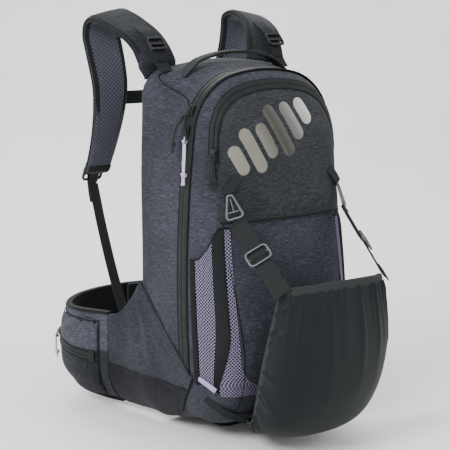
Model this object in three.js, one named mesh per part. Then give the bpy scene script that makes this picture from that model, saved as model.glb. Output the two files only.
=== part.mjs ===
// Ski backpack of about 16 litres with a hip belt, shoulder straps and a helmet carrier.
// Millimetres, +Z up. The origin is the middle of the flat base, the front of the bag looks
// towards -Y, the wearer's back is on the +Y side, and X is the width.
import * as THREE from "three";

// ---- driving dimensions --------------------------------------------------------------------

const GAP = 0.4; // clearance between pieces that touch face to face
const ON_BAG = 1.2; // clearance under a piece that lies on the curved bag
const WEBBING = 1.8; // thickness of woven webbing

const BASE_THICKNESS = 3;
const BASE = { halfWidth: 50, fromY: -26, toY: 53 };
const BAG_BOTTOM = { front: 18, back: BASE_THICKNESS + GAP };
const BAG_HALF_WIDTH = 131.5;
const BAG_WIDEST_Z = 220;
const BAG_CENTRE_Z = 250; // the front shell's rings shrink towards this height
const SIDE_LOW_Z = 70; // the side meets the bottom corner here
const CORNER_END = THREE.MathUtils.degToRad(78); // where a top corner meets the top arc
const ZIP_PLANE = { y: -45, sideRadius: 1860, sideHighZ: 440, cornerRadius: 86 };
const BACK_PLANE = { y: 62, sideRadius: 15000, sideHighZ: 480, cornerRadius: 40 };
const BACK_EDGE = 6; // rounding of the bag's back edge

const FRONT_DEPTH = { low: 92, high: 60, lowZ: 120, highZ: 400 };
const FRONT_RINGS = [1, 0.99, 0.965, 0.93, 0.88, 0.81, 0.71, 0.58, 0.42, 0.22];

const ZIP_WIDTH = 16;
const ZIP_THICKNESS = 1;
const MAIN_ZIP_END_Z = 122;
const FRONT_ZIP = { inner: 0.845, outer: 0.915, topInner: 0.905, topOuter: 0.952, endZ: 425 };
const POCKET = { seamZ: 318, thickness: 5, margin: 0.015 };
const SIDE_POCKET = { outer: 0.985, bandOut: 0.875, bandIn: 0.785 };

const STRAP_THICKNESS = 12;
const SHOULDER_WEBBING = 25;
const STERNUM = { y: 190.4, z: 466, webbing: 20 };
const HANDLE = { y: 14, halfSpan: 74, width: 20, thickness: 3 };

const BELT = { centreY: 202, halfWidth: 156, halfDepth: 128 };
const SEAM = { x: 142, y: 135 }; // where a wing is sewn to its fin
const FIN = {
  startY: -64,
  lowStartY: 8,
  aboveBottom: 10,
  peak: { y: 76, z: 206 },
  clearX: 133.2,
  thickness: 3,
};
const WING_THICKNESS = 9;
const HIP_POCKET_BULGE = 9;

const CARRIER_WEBBING = 25;
const HOOK_WIRE = 3.4;

// ---- colours -------------------------------------------------------------------------------

const HEATHER = { color: 0x4a4b54, roughness: 0.95 };
const HEATHER_DARK = { color: 0x3a3c46, roughness: 0.95 };
const BLACK_WEBBING = { color: 0x2c302f, roughness: 0.85 };
const ZIP_TAPE = { color: 0x3b3e3b, roughness: 0.6 };
const SPACER_MESH = { color: 0x54586a, roughness: 0.9 };
const STRETCH = { color: 0x272c2f, roughness: 0.8 };
const LILAC_MESH = { color: 0x9d90b0, roughness: 0.9 };
const LILAC_CORD = { color: 0xd9cfe6, roughness: 0.7 };
const BLACK_PLASTIC = { color: 0x1d1f20, roughness: 0.45 };
const GREY_METAL = { color: 0x7b8084, roughness: 0.35, metalness: 0.8 };
const FOAM_BOARD = { color: 0x2a2a2c, roughness: 0.9 };

// ---- small tools ---------------------------------------------------------------------------

const { lerp, smoothstep, degToRad } = THREE.MathUtils;
const point = (x, y, z) => new THREE.Vector3(x, y, z);
const spread = (n) => Array.from({ length: n + 1 }, (_, i) => i / n);
const bagCentre = point(0, 0, BAG_CENTRE_Z);

const backpack = new THREE.Group();

function add(name, geometry, material, place = (mesh) => mesh) {
  const mesh = new THREE.Mesh(geometry, new THREE.MeshStandardMaterial(material));
  mesh.name = name;
  place(mesh);
  backpack.add(mesh);
  return mesh;
}

// An indexed geometry with its faces turned to look out of the solid.
function solid(vertices, triangles) {
  const corner = (i) => vertices[i];
  const volume = triangles.reduce(
    (sum, [a, b, c]) => sum + corner(a).dot(corner(b).clone().cross(corner(c))),
    0,
  );
  const facingOut = volume > 0 ? triangles : triangles.map(([a, b, c]) => [a, c, b]);
  const geometry = new THREE.BufferGeometry();
  geometry.setFromPoints(vertices);
  geometry.setIndex(facingOut.flat());
  geometry.computeVertexNormals();
  return geometry;
}

// Joins equal rings of points into one closed body, with a fan over each end.
function loft(rings) {
  const size = rings[0].length;
  const vertices = rings.flat();
  const triangles = [];
  for (let r = 0; r + 1 < rings.length; r++) {
    for (let i = 0; i < size; i++) {
      const a = r * size + i;
      const b = r * size + ((i + 1) % size);
      triangles.push([a, b, b + size], [a, b + size, a + size]);
    }
  }
  const middle = (ring) =>
    ring.reduce((sum, p) => sum.add(p), point(0, 0, 0)).divideScalar(ring.length);
  const last = (rings.length - 1) * size;
  vertices.push(middle(rings[0]), middle(rings[rings.length - 1]));
  for (let i = 0; i < size; i++) {
    const j = (i + 1) % size;
    triangles.push([vertices.length - 2, j, i], [vertices.length - 1, last + i, last + j]);
  }
  return solid(vertices, triangles);
}

function surfaceNormal(surface, u, v) {
  const step = 1e-3;
  const along = surface(Math.min(u + step, 1), v).sub(surface(Math.max(u - step, 0), v));
  const across = surface(u, Math.min(v + step, 1)).sub(surface(u, Math.max(v - step, 0)));
  return along.cross(across).normalize();
}

// A sheet of material between two offsets from surface(u, v), both measured along its normal
// and away from the inside point. An offset is a number, or a function of u and v.
function slab(surface, us, vs, low, high, inside = bagCentre) {
  const at = (offset, u, v) => (typeof offset === "function" ? offset(u, v) : offset);
  const away = surface(0.5, 0.5).sub(inside).dot(surfaceNormal(surface, 0.5, 0.5));
  const rings = us.map((u) => {
    const side = (offset, v) =>
      surface(u, v).addScaledVector(
        surfaceNormal(surface, u, v),
        Math.sign(away) * at(offset, u, v),
      );
    const outer = vs.map((v) => side(high, v));
    const inner = vs.map((v) => side(low, v)).reverse();
    return [...outer, ...inner];
  });
  const size = rings[0].length;
  const vertices = rings.flat();
  const triangles = [];
  for (let r = 0; r + 1 < rings.length; r++) {
    for (let i = 0; i < size; i++) {
      const a = r * size + i;
      const b = r * size + ((i + 1) % size);
      triangles.push([a, b, b + size], [a, b + size, a + size]);
    }
  }
  const last = (rings.length - 1) * size;
  for (let j = 0; j + 1 < vs.length; j++) {
    const far = size - 1 - j;
    triangles.push([j, far, far - 1], [j, far - 1, j + 1]);
    triangles.push([last + j, last + far - 1, last + far], [last + j, last + j + 1, last + far - 1]);
  }
  return solid(vertices, triangles);
}

// A strap: the surface swept by a width direction along a curve.
function strapSurface(curve, width, across) {
  const read = (value, u) => (typeof value === "function" ? value(u) : value);
  return (u, v) =>
    curve.getPoint(u).addScaledVector(read(across, u), (v - 0.5) * read(width, u));
}

const route = (points) =>
  new THREE.CatmullRomCurve3(points.map(([x, y, z]) => point(x, y, z)), false, "centripetal");

// A round cord along a route, as a tube with eight sides.
function cord(curve, diameter, steps) {
  const section = new THREE.Shape();
  spread(8).slice(0, 8).forEach((turn, i) => {
    const angle = turn * 2 * Math.PI;
    const x = (diameter / 2) * Math.cos(angle);
    const y = (diameter / 2) * Math.sin(angle);
    if (i === 0) section.moveTo(x, y);
    else section.lineTo(x, y);
  });
  return new THREE.ExtrudeGeometry(section, { extrudePath: curve, steps, bevelEnabled: false });
}

function roundedRectangle(width, height, radius, target = new THREE.Shape()) {
  const x = width / 2 - radius;
  const y = height / 2 - radius;
  target.moveTo(x, -y - radius);
  target.absarc(x, -y, radius, -Math.PI / 2, 0);
  target.absarc(x, y, radius, 0, Math.PI / 2);
  target.absarc(-x, y, radius, Math.PI / 2, Math.PI);
  target.absarc(-x, -y, radius, Math.PI, 1.5 * Math.PI);
  target.closePath();
  return target;
}

// A flat plate from a shape, centred on its thickness.
function plate(shape, thickness, curveSegments = 2) {
  const geometry = new THREE.ExtrudeGeometry(shape, {
    depth: thickness,
    bevelEnabled: false,
    curveSegments,
  });
  return geometry.translate(0, 0, -thickness / 2);
}

// A buckle frame: a rounded plate with one slot on each side of its bar.
function buckleFrame(width, length, thickness, bar = 4, rim = 3) {
  const shape = roundedRectangle(width, length, 4);
  const slotLength = (length - 2 * rim - bar) / 2;
  for (const side of [-1, 1]) {
    const hole = roundedRectangle(width - 2 * rim, slotLength, 1, new THREE.Path());
    const points = hole.getPoints(2).slice(0, -1);
    const shift = (side * (slotLength + bar)) / 2;
    shape.holes.push(new THREE.Path(points.map((p) => new THREE.Vector2(p.x, p.y + shift))));
  }
  return plate(shape, thickness);
}

// Turns a mesh so that its own Y runs along one direction and its own Z looks along another.
function aim(mesh, place, along, facing) {
  const y = along.clone().normalize();
  const z = facing.clone().addScaledVector(y, -facing.dot(y)).normalize();
  const x = y.clone().cross(z);
  mesh.quaternion.setFromRotationMatrix(new THREE.Matrix4().makeBasis(x, y, z));
  mesh.position.copy(place);
}

// ---- the bag's shape -----------------------------------------------------------------------

// The outline's driving values at a depth: k is 0 at the zip plane and 1 at the back.
function outlineValues(k) {
  const sideCurve = lerp(1 / (2 * ZIP_PLANE.sideRadius), 1 / (2 * BACK_PLANE.sideRadius), k);
  const highZ = lerp(ZIP_PLANE.sideHighZ, BACK_PLANE.sideHighZ, k);
  const cornerRadius = lerp(ZIP_PLANE.cornerRadius, BACK_PLANE.cornerRadius, k);
  const bottom = lerp(BAG_BOTTOM.front, BAG_BOTTOM.back, k);
  return { sideCurve, highZ, cornerRadius, bottom };
}

const sideX = (z, k = 0) =>
  BAG_HALF_WIDTH - outlineValues(k).sideCurve * (z - BAG_WIDEST_Z) ** 2;

function arcPoints(x, z, radius, from, to, n) {
  return spread(n).map((t) => {
    const angle = lerp(from, to, t);
    return [x + radius * Math.cos(angle), z + radius * Math.sin(angle)];
  });
}

// One corner arc: its centre and the angle at which it leaves the side.
function cornerArc(z, radius, k) {
  const angle = Math.atan(2 * outlineValues(k).sideCurve * (z - BAG_WIDEST_Z));
  const x = sideX(z, k) - radius * Math.cos(angle);
  return { x, z: z - radius * Math.sin(angle), radius, angle };
}

// The rounded bottom corner, which ends level on the bag's bottom.
function lowCorner(k) {
  const { angle } = cornerArc(SIDE_LOW_Z, 0, k);
  const height = SIDE_LOW_Z - outlineValues(k).bottom;
  return cornerArc(SIDE_LOW_Z, height / (1 + Math.sin(angle)), k);
}

// The right half of the outline, from the bottom centre to the top centre, as [x, z] points.
function halfOutline(k) {
  const { highZ, cornerRadius, bottom } = outlineValues(k);
  const low = lowCorner(k);
  const high = cornerArc(highZ, cornerRadius, k);
  const toTop = high.x / Math.cos(CORNER_END);
  const topZ = high.z - toTop * Math.sin(CORNER_END);
  const side = spread(7).map((t) => lerp(SIDE_LOW_Z, highZ, t)).slice(1, -1);
  return [
    [0, bottom],
    ...arcPoints(low.x, low.z, low.radius, -Math.PI / 2, low.angle, 5),
    ...side.map((z) => [sideX(z, k), z]),
    ...arcPoints(high.x, high.z, cornerRadius, high.angle, CORNER_END, 6),
    ...arcPoints(0, topZ, toTop + cornerRadius, CORNER_END, Math.PI / 2, 2).slice(1),
  ];
}

// How far a depth has gone from the zip plane's outline to the back's.
const depthBlend = (y) => smoothstep(y, ZIP_PLANE.y + ZIP_WIDTH / 2 + 2, BACK_PLANE.y - BACK_EDGE);

// A closed ring of the outline at a depth, made smaller or larger about the bag's centre.
function ring(k, y, scale = 1) {
  const half = halfOutline(k);
  const left = half.slice(1, -1).reverse().map(([x, z]) => [-x, z]);
  return [...half, ...left].map(([x, z]) =>
    point(x * scale, typeof y === "function" ? y(scale, z) : y, lerp(BAG_CENTRE_Z, z, scale)),
  );
}

function frontDepth(z) {
  const { low, high, lowZ, highZ } = FRONT_DEPTH;
  return lerp(low, high, smoothstep(z, lowZ, highZ));
}

// The front shell bulges from the zip plane: scale 1 is its edge and 0 its middle.
const frontY = (scale, z) =>
  ZIP_PLANE.y - frontDepth(lerp(BAG_CENTRE_Z, z, scale)) * Math.sqrt(Math.max(0, 1 - scale ** 4));

const frontPoint = (x, z, scale) =>
  point(x * scale, frontY(scale, z), lerp(BAG_CENTRE_Z, z, scale));

// The part of the outline above a height, left to right over the top, read by t from 0 to 1.
function archAbove(endZ, k = 0) {
  const half = halfOutline(k).filter(([, z]) => z > endZ);
  const right = [[sideX(endZ, k), endZ], ...half].reverse();
  const left = right.slice(1).reverse().map(([x, z]) => [-x, z]);
  return route([...left, ...right].map(([x, z]) => [x, 0, z]));
}

// The shell's distance from its centre line at a height and a width, for pieces lying on it.
const outlineRing = ring(0, 0);
function scaleAt(x, z) {
  const dx = x;
  const dz = z - BAG_CENTRE_Z;
  for (let i = 0; i < outlineRing.length; i++) {
    const a = outlineRing[i].clone().sub(bagCentre);
    const b = outlineRing[(i + 1) % outlineRing.length].clone().sub(bagCentre);
    const across = (b.x - a.x) * dz - (b.z - a.z) * dx;
    const t = (a.z * dx - a.x * dz) / across;
    const reach = (a.x * (b.z - a.z) - a.z * (b.x - a.x)) / -across;
    if (t >= 0 && t <= 1 && reach > 0) return 1 / reach;
  }
  return 0;
}

const frontAt = (x, z) => {
  const scale = scaleAt(x, z);
  return point(x, ZIP_PLANE.y - frontDepth(z) * Math.sqrt(Math.max(0, 1 - scale ** 4)), z);
};

// ---- the bag -------------------------------------------------------------------------------

function addBag() {
  const depths = [ZIP_PLANE.y + GAP, -34, -16, 4, 24, 42, BACK_PLANE.y - BACK_EDGE];
  const rings = depths.map((y) => ring(depthBlend(y), y));
  const inset = (distance) => 1 - distance / BAG_HALF_WIDTH;
  rings.push(ring(1, BACK_PLANE.y - BACK_EDGE * 0.3, inset(BACK_EDGE * 0.3)));
  rings.push(ring(1, BACK_PLANE.y, inset(BACK_EDGE)));
  add("rear_shell", loft(rings), HEATHER);

  const front = FRONT_RINGS.map((scale) => ring(0, frontY, scale));
  add("front_shell", loft(front), HEATHER);

  // the boot under the bag is flat below and follows the bag's bottom above
  const { halfWidth, fromY, toY } = BASE;
  const boot = [0, 0.06, 0.2, 0.5, 0.8, 0.94, 1].map((t) => {
    const y = lerp(fromY, toY, t);
    const top = outlineValues(depthBlend(y)).bottom - GAP;
    const half = halfWidth * (0.75 + 0.25 * (1 - Math.abs(2 * t - 1) ** 6) ** 0.5);
    return [point(-half, y, 0), point(half, y, 0), point(half, y, top), point(-half, y, top)];
  });
  add("base_panel", loft(boot), HEATHER_DARK);
}

function addZipTapes() {
  const main = archAbove(MAIN_ZIP_END_Z);
  const band = (u, v) => main.getPoint(u).setY(ZIP_PLANE.y + (v - 0.5) * ZIP_WIDTH);
  add("main_zip_tape", slab(band, spread(56), [0, 1], ON_BAG, ON_BAG + ZIP_THICKNESS), ZIP_TAPE);

  const offsets = [ON_BAG, ON_BAG + ZIP_THICKNESS];
  add("front_zip_tape", slab(frontZipStrip(), spread(40), spread(2), ...offsets), ZIP_TAPE);
}

function frontZipStrip() {
  const arch = archAbove(FRONT_ZIP.endZ);
  return (u, v) => {
    const { x, z } = arch.getPoint(u);
    return frontPoint(x, z, frontZipScale(z, v));
  };
}

// The front pocket's zip runs closer to the edge over the top than it does at the sides.
function frontZipScale(z, across) {
  const rise = smoothstep(z, FRONT_ZIP.endZ, 505);
  const inner = lerp(FRONT_ZIP.inner, FRONT_ZIP.topInner, rise);
  return lerp(inner, lerp(FRONT_ZIP.outer, FRONT_ZIP.topOuter, rise), across);
}

function addFrontPocket() {
  const arch = archAbove(FRONT_ZIP.endZ - 60);
  const edge = (u) => {
    const { x, z } = arch.getPoint(u);
    const scale = frontZipScale(z, 0) - POCKET.margin;
    return [x * scale, lerp(BAG_CENTRE_Z, z, scale)];
  };
  const surface = (u, v) => {
    const top = edge(u);
    const seam = [lerp(edge(0)[0], edge(1)[0], u), POCKET.seamZ];
    return frontAt(lerp(seam[0], top[0], v), lerp(seam[1], top[1], v));
  };
  const crown = (u, v) => Math.sqrt(Math.sin(Math.PI * v) * Math.sin(Math.PI * u));
  const high = (u, v) => ON_BAG + lerp(1.5, POCKET.thickness, crown(u, v));
  add("front_pocket", slab(surface, spread(20), spread(6), ON_BAG, high), HEATHER);
}

// A place on the front shell's side, by its real height and how near it is to the edge.
function sidePoint(side, z, scale) {
  const outlineZ = BAG_CENTRE_Z + (z - BAG_CENTRE_Z) / scale;
  return frontPoint(side * (BAG_HALF_WIDTH + tuck(outlineZ, 0)), outlineZ, scale);
}

// A panel of open mesh with an elastic band along its opening, behind which a pump slips in.
function addSidePocket(side, name) {
  const { outer, bandOut, bandIn } = SIDE_POCKET;
  const lowZ = (scale) => lerp(76, 98, Math.max(0, (scale - bandOut) / (outer - bandOut)));
  const highZ = (scale) => lerp(308, 262, smoothstep(scale, 0.8, outer));
  const layer = (from, to, columns, high) => {
    const surface = (u, v) => {
      const scale = lerp(from, to, v);
      return sidePoint(side, lerp(lowZ(scale), highZ(scale), u), scale);
    };
    return slab(surface, spread(12), spread(columns), ON_BAG, high);
  };
  add(`side_pocket_${name}`, layer(bandOut + 0.004, outer, 4, 3.2), LILAC_MESH);
  add(`side_pocket_band_${name}`, layer(bandIn, bandOut, 3, 2.2), BLACK_WEBBING);
}

// ---- the back ------------------------------------------------------------------------------

function addBack() {
  const board = roundedRectangle(218, 430, 34);
  const upright = (y, z) => (mesh) => {
    mesh.rotation.x = Math.PI / 2;
    mesh.position.set(0, y, z);
  };
  const boardY = BACK_PLANE.y + GAP + 3;
  add("back_protector", plate(board, 6, 6), FOAM_BOARD, upright(boardY, 285));

  const panel = roundedRectangle(194, 418, 28);
  const panelY = boardY + 3 + GAP + 1;
  add("back_panel", plate(panel, 2, 6), SPACER_MESH, upright(panelY, 285));

  const padY = panelY + 1 + GAP;
  const pad = (centreX, centreZ, halfWidth, halfHeight, thickness) => {
    const crown = (q) => (1 - Math.abs(2 * q - 1) ** 4) ** 0.5;
    const surface = (u, v) =>
      point(
        centreX + (v - 0.5) * 2 * halfWidth * (0.8 + 0.2 * crown(u)),
        padY,
        centreZ + (u - 0.5) * 2 * halfHeight,
      );
    const high = (u, v) => 0.4 + thickness * crown(u) * crown(v);
    const steps = [0, 0.04, 0.15, 0.35, 0.65, 0.85, 0.96, 1];
    return slab(surface, steps, steps, 0, high);
  };
  for (const [side, name] of [[-1, "left"], [1, "right"]]) {
    add(`back_pad_${name}`, pad(side * 52, 345, 36, 125, 9), SPACER_MESH);
  }
  add("lumbar_pad", pad(0, 142, 84, 58, 14), SPACER_MESH);
}

// ---- shoulder straps -----------------------------------------------------------------------

// The centre line of a shoulder strap, from the bag's top edge to its lower end.
const STRAP_ROUTE = [
  [98, 66, 527],
  [99, 79, 545],
  [102, 99, 562],
  [106, 130, 576],
  [108, 160, 586],
  [108, 183, 590],
  [108, 198, 583],
  [109, 201, 566],
  [109, 192, 540],
  [109, 182, 511],
  [109, 176, 484],
  [110, 177, 455],
  [110, 185, 425],
  [109, 198, 395],
  [108, 213, 367],
  [108, 220, 353],
];
// The right strap falls a little outwards and back at its top.
const STRAP_LEAN = { left: [0, 0, 0], right: [22, -18, -5] };
const STRAP_ROLL = degToRad(11);
const mirrored = (points, side) => points.map(([x, y, z]) => [side * x, y, z]);
const strapWidth = (u) => lerp(62, 40, smoothstep(u, 0.55, 1));

const LIFTER_ROUTE = [
  [104, 45, 526],
  [105, 51, 541],
  [106, 62, 555],
  [107, 80, 568],
  [108, 101, 577],
];
const LOWER_ROUTE = [
  [110, 228, 335],
  [114, 193, 262],
  [117, 146, 176],
  [115, 108, 115],
  [112, 78, 74],
];

function strapRoute(side, name) {
  const lean = STRAP_LEAN[name];
  const last = STRAP_ROUTE.length - 1;
  const leaning = STRAP_ROUTE.map((p, i) => {
    const amount = smoothstep(i / last, 0, 0.3) * (1 - smoothstep(i / last, 0.45, 0.68));
    return p.map((value, axis) => value + amount * lean[axis]);
  });
  return route(mirrored(leaning, side));
}

function strapAcross(side) {
  return (u) => {
    const roll = STRAP_ROLL * smoothstep(u, 0.05, 0.25) * (1 - smoothstep(u, 0.5, 0.62));
    return point(side * Math.cos(roll), 0, -Math.sin(roll));
  };
}

function addShoulderStrap(side, name) {
  const centre = strapRoute(side, name);
  const surface = strapSurface(centre, strapWidth, strapAcross(side));
  const half = (u, v) => (STRAP_THICKNESS / 2) * (1 - 0.55 * Math.abs(2 * v - 1) ** 5);
  const low = (u, v) => -half(u, v);
  add(`strap_pad_${name}`, slab(surface, spread(36), [0, 0.1, 0.5, 0.9, 1], low, half), HEATHER);

  // the rail that the sternum strap slides on, on the side away from the chest
  const railFrom = 0.595;
  const railTo = 0.765;
  const railCurve = { getPoint: (u) => centre.getPoint(lerp(railFrom, railTo, u)) };
  const railSurface = strapSurface(railCurve, 12, point(side, 0, 0));
  const lift = STRAP_THICKNESS / 2 + 0.6;
  add(`sternum_rail_${name}`, slab(railSurface, spread(10), [0, 1], lift, lift + 1.4), BLACK_WEBBING);

  // the load lifter runs from the bag's top edge to the top of the strap
  const lifter = route(mirrored(LIFTER_ROUTE, side));
  const lifterSurface = strapSurface(lifter, 20, point(side, 0, 0));
  const lifterOffsets = [-WEBBING / 2, WEBBING / 2];
  add(`lifter_webbing_${name}`, slab(lifterSurface, spread(12), [0, 1], ...lifterOffsets), BLACK_WEBBING);

  // the webbing from the strap's lower end to the bag's lower corner
  const lower = route(mirrored(LOWER_ROUTE, side));
  const lowerAcross = point(-side * 0.88, 0.47, 0).normalize();
  const lowerSurface = strapSurface(lower, SHOULDER_WEBBING, lowerAcross);
  add(`lower_webbing_${name}`, slab(lowerSurface, spread(16), [0, 1], ...lifterOffsets), BLACK_WEBBING);
}

// A ladder buckle on the load lifter and one on the strap's lower end.
function addStrapBuckles(side, name) {
  const lifterPlace = point(side * 105.5, 55, 553.2);
  const lifterAlong = point(0, 13, 14);
  add(`lifter_buckle_${name}`, buckleFrame(28, 22, 5), BLACK_PLASTIC, (mesh) =>
    aim(mesh, lifterPlace, lifterAlong, point(0, -14, 13)),
  );
  const lowerPlace = point(side * 108, 231.5, 350);
  add(`strap_adjuster_${name}`, buckleFrame(34, 26, 5), BLACK_PLASTIC, (mesh) =>
    aim(mesh, lowerPlace, point(0, 0.5, -1), point(0, 1, 0.5)),
  );
}

function addSternumStrap() {
  const { y, z, webbing } = STERNUM;
  const band = (fromX, toX, atY) => {
    const surface = (u, v) => point(lerp(fromX, toX, u), atY, z + (v - 0.5) * webbing);
    return slab(surface, spread(6), [0, 1], -WEBBING / 2, WEBBING / 2);
  };
  add("sternum_webbing_left", band(-122, -21.6, y), BLACK_WEBBING);
  add("sternum_webbing_right", band(20, 122, y + 4.2), BLACK_WEBBING);

  // the socket is a flat sleeve, open at both ends, that the plug's tongue slides into
  const wall = roundedRectangle(27, 9.6, 2.5);
  wall.holes.push(roundedRectangle(21.6, 5.4, 0.8, new THREE.Path()));
  const alongX = (x, atY) => (mesh) => {
    mesh.rotation.y = Math.PI / 2;
    mesh.position.set(x, atY, z);
  };
  add("sternum_socket", plate(wall, 38), BLACK_PLASTIC, alongX(-2.2, y));

  const plug = new THREE.Shape();
  const outline = [[-14, 9], [-14, -9], [17, -9], [17, -13], [31, -13], [31, 13], [17, 13], [17, 9]];
  outline.forEach(([px, pz], i) => (i ? plug.lineTo(px, pz) : plug.moveTo(px, pz)));
  add("sternum_plug", plate(plug, 4), BLACK_PLASTIC, (mesh) => {
    mesh.rotation.x = Math.PI / 2;
    mesh.position.set(0, y, z);
  });
}

function addHaulHandle() {
  const { y, halfSpan, width, thickness } = HANDLE;
  const rise = [[1, 524], [0.88, 530], [0.6, 536], [0.3, 539.5]];
  const right = rise.map(([part, z]) => [part * halfSpan, y, z]);
  const loop = route([...mirrored(right, -1), [0, y, 540.5], ...right.slice().reverse()]);
  const surface = strapSurface(loop, width, point(0, 1, 0));
  const half = thickness / 2;
  add("haul_handle", slab(surface, spread(20), [0, 1], -half, half), BLACK_WEBBING);
}

// ---- hip belt ------------------------------------------------------------------------------

// The belt's outer face in plan. A fin lies on the bag's side and then flares out to the seam.
const finX = (y) => FIN.clearX + 0.0017 * Math.max(0, y - BACK_PLANE.y) ** 2;

const beltPlan = (degrees, reduce = 0) => {
  const angle = degToRad(degrees);
  const x = (BELT.halfWidth - reduce) * Math.cos(angle);
  return [x, BELT.centreY + (BELT.halfDepth - reduce) * Math.sin(angle), 0];
};

// The left wing closes over the right one, so the right wing's end runs further in.
const WING_OVERLAP = WING_THICKNESS + 2.4;
const WING_PLAN = {
  left: route([[SEAM.x, SEAM.y + 0.6, 0], ...[-15, 3, 21, 39, 57, 75, 93, 112].map((a) => beltPlan(a))]),
  right: route([
    [SEAM.x, SEAM.y + 0.6, 0],
    ...[-15, 3, 21, 39].map((a) => beltPlan(a)),
    ...[57, 72, 87].map((a) => beltPlan(a, WING_OVERLAP)),
  ]),
};
const wingTop = (u) => lerp(151, 143, smoothstep(u, 0, 0.5));
const wingBottom = (u) => lerp(12, 66, smoothstep(u, 0.1, 0.62));

// How far the bag's side is tucked in from its widest height, at a depth.
function tuck(z, k) {
  if (z > SIDE_LOW_Z) return sideX(z, k) - BAG_HALF_WIDTH;
  const corner = lowCorner(k);
  return corner.x + Math.sqrt(corner.radius ** 2 - (corner.z - z) ** 2) - BAG_HALF_WIDTH;
}

// The fin's front edge slants back down the bag, and its top edge peaks just behind the bag.
function addHipFin(side, name) {
  const { startY, lowStartY, aboveBottom, peak } = FIN;
  const endY = SEAM.y - 0.6;
  const topZ = (y) =>
    y < peak.y
      ? lerp(96, peak.z, (y - startY) / (peak.y - startY))
      : lerp(peak.z, wingTop(0), (y - peak.y) / (endY - peak.y));
  const surface = (u, v) => {
    const y = lerp(lerp(lowStartY, startY, Math.sqrt(v)), endY, u);
    const k = depthBlend(y);
    const z = lerp(outlineValues(k).bottom + aboveBottom, topZ(lerp(startY, endY, u)), v);
    return point(side * (finX(y) + tuck(z, k)), y, z);
  };
  const padding = (u) => lerp(FIN.thickness, WING_THICKNESS, smoothstep(u, 0.72, 0.97));
  const inward = (u) => FIN.thickness - padding(u);
  const us = [0, 0.1, 0.2, 0.3, 0.4, 0.5, 0.58, 0.64, 0.7, 0.76, 0.82, 0.88, 0.94, 1];
  const fin = slab(surface, us, spread(9), inward, FIN.thickness);
  add(`hip_fin_${name}`, fin, HEATHER);
}

function wingSurface(side, name) {
  const plan = WING_PLAN[name];
  return (u, v) => {
    const { x, y } = plan.getPoint(u);
    const ahead = plan.getPoint(Math.min(1, u + 0.004)).sub(plan.getPoint(Math.max(0, u - 0.004)));
    const outward = point(ahead.y, -ahead.x, 0).normalize();
    const z = lerp(wingBottom(u), wingTop(u), v);
    const fade = 1 - smoothstep(u, 0.1, 0.7) * 0.85;
    const at = point(x, y, z).addScaledVector(outward, FIN.thickness + tuck(z, 1) * fade * 0.9);
    return point(side * at.x, at.y, at.z);
  };
}

function addHipWing(side, name) {
  const surface = wingSurface(side, name);
  const thick = (u) => lerp(WING_THICKNESS, WING_THICKNESS - 2, u);
  const waist = point(0, BELT.centreY, 100);
  add(`hip_wing_${name}`, slab(surface, spread(22), spread(5), (u) => -thick(u), 0, waist), HEATHER);

  // the zipped pocket that is sewn on the wing
  const steps = [0, 0.03, 0.1, 0.22, 0.36, 0.5, 0.64, 0.78, 0.9, 0.97, 1];
  const rows = [0, 0.05, 0.2, 0.4, 0.6, 0.8, 0.95, 1];
  const pocket = slab(hipPocketSurface(side, name), steps, rows, 1.4, hipPuff, waist);
  add(`hip_pocket_${name}`, pocket, HEATHER);
}

function hipPocketSurface(side, name) {
  const wing = wingSurface(side, name);
  return (u, v) => wing(lerp(0.05, 0.46, u), lerp(0.04, 0.95, v));
}

function hipPuff(u, v) {
  const crown = (q) => Math.sqrt(Math.max(0, 1 - Math.abs(2 * q - 1) ** 3));
  return 2 + HIP_POCKET_BULGE * crown(u) * crown(v);
}

// ---- helmet carrier ------------------------------------------------------------------------

// The pouch is a sheet that cups a helmet: u runs from its left edge to its right edge and
// v from the bottom seam to the top hem.
const POUCH_EDGE = route([
  [58, -98, 33],
  [70, -118, 35],
  [80, -139, 46],
  [88, -156, 75],
  [93, -172, 115],
  [95, -186, 155],
  [91, -197, 200],
  [85, -204, 242],
]);
const POUCH_MIDDLE = route([
  [0, -88, 25],
  [0, -120, 17],
  [0, -160, 17],
  [0, -202, 33],
  [0, -238, 85],
  [0, -250, 150],
  [0, -246, 205],
  [0, -238, 250],
]);
const POUCH_THICKNESS = 1.4;
const POUCH_BINDING = { u: 0.042, v: 0.04, gap: 0.015 };

function pouchPoint(u, v) {
  const edge = POUCH_EDGE.getPoint(v);
  const middle = POUCH_MIDDLE.getPoint(v);
  const angle = (u - 0.5) * Math.PI;
  const forward = Math.cos(angle) ** 0.85;
  const x = Math.sign(angle) * edge.x * Math.abs(Math.sin(angle)) ** 0.85;
  const swell = 1 + 0.12 * Math.sin(Math.PI * v) * Math.sin(2 * Math.abs(angle));
  return point(x * swell, lerp(edge.y, middle.y, forward), lerp(edge.z, middle.z, forward));
}

// A frame of the sheet's (u, v) square, open at the bottom: up one side, over and down.
function pouchFrame(t, inset) {
  const u = POUCH_BINDING.u * inset;
  const v = 1 - POUCH_BINDING.v * inset;
  const leg = 0.36;
  if (t < leg) return [u, (v * t) / leg];
  if (t > 1 - leg) return [1 - u, (v * (1 - t)) / leg];
  return [lerp(u, 1 - u, (t - leg) / (1 - 2 * leg)), v];
}

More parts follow.
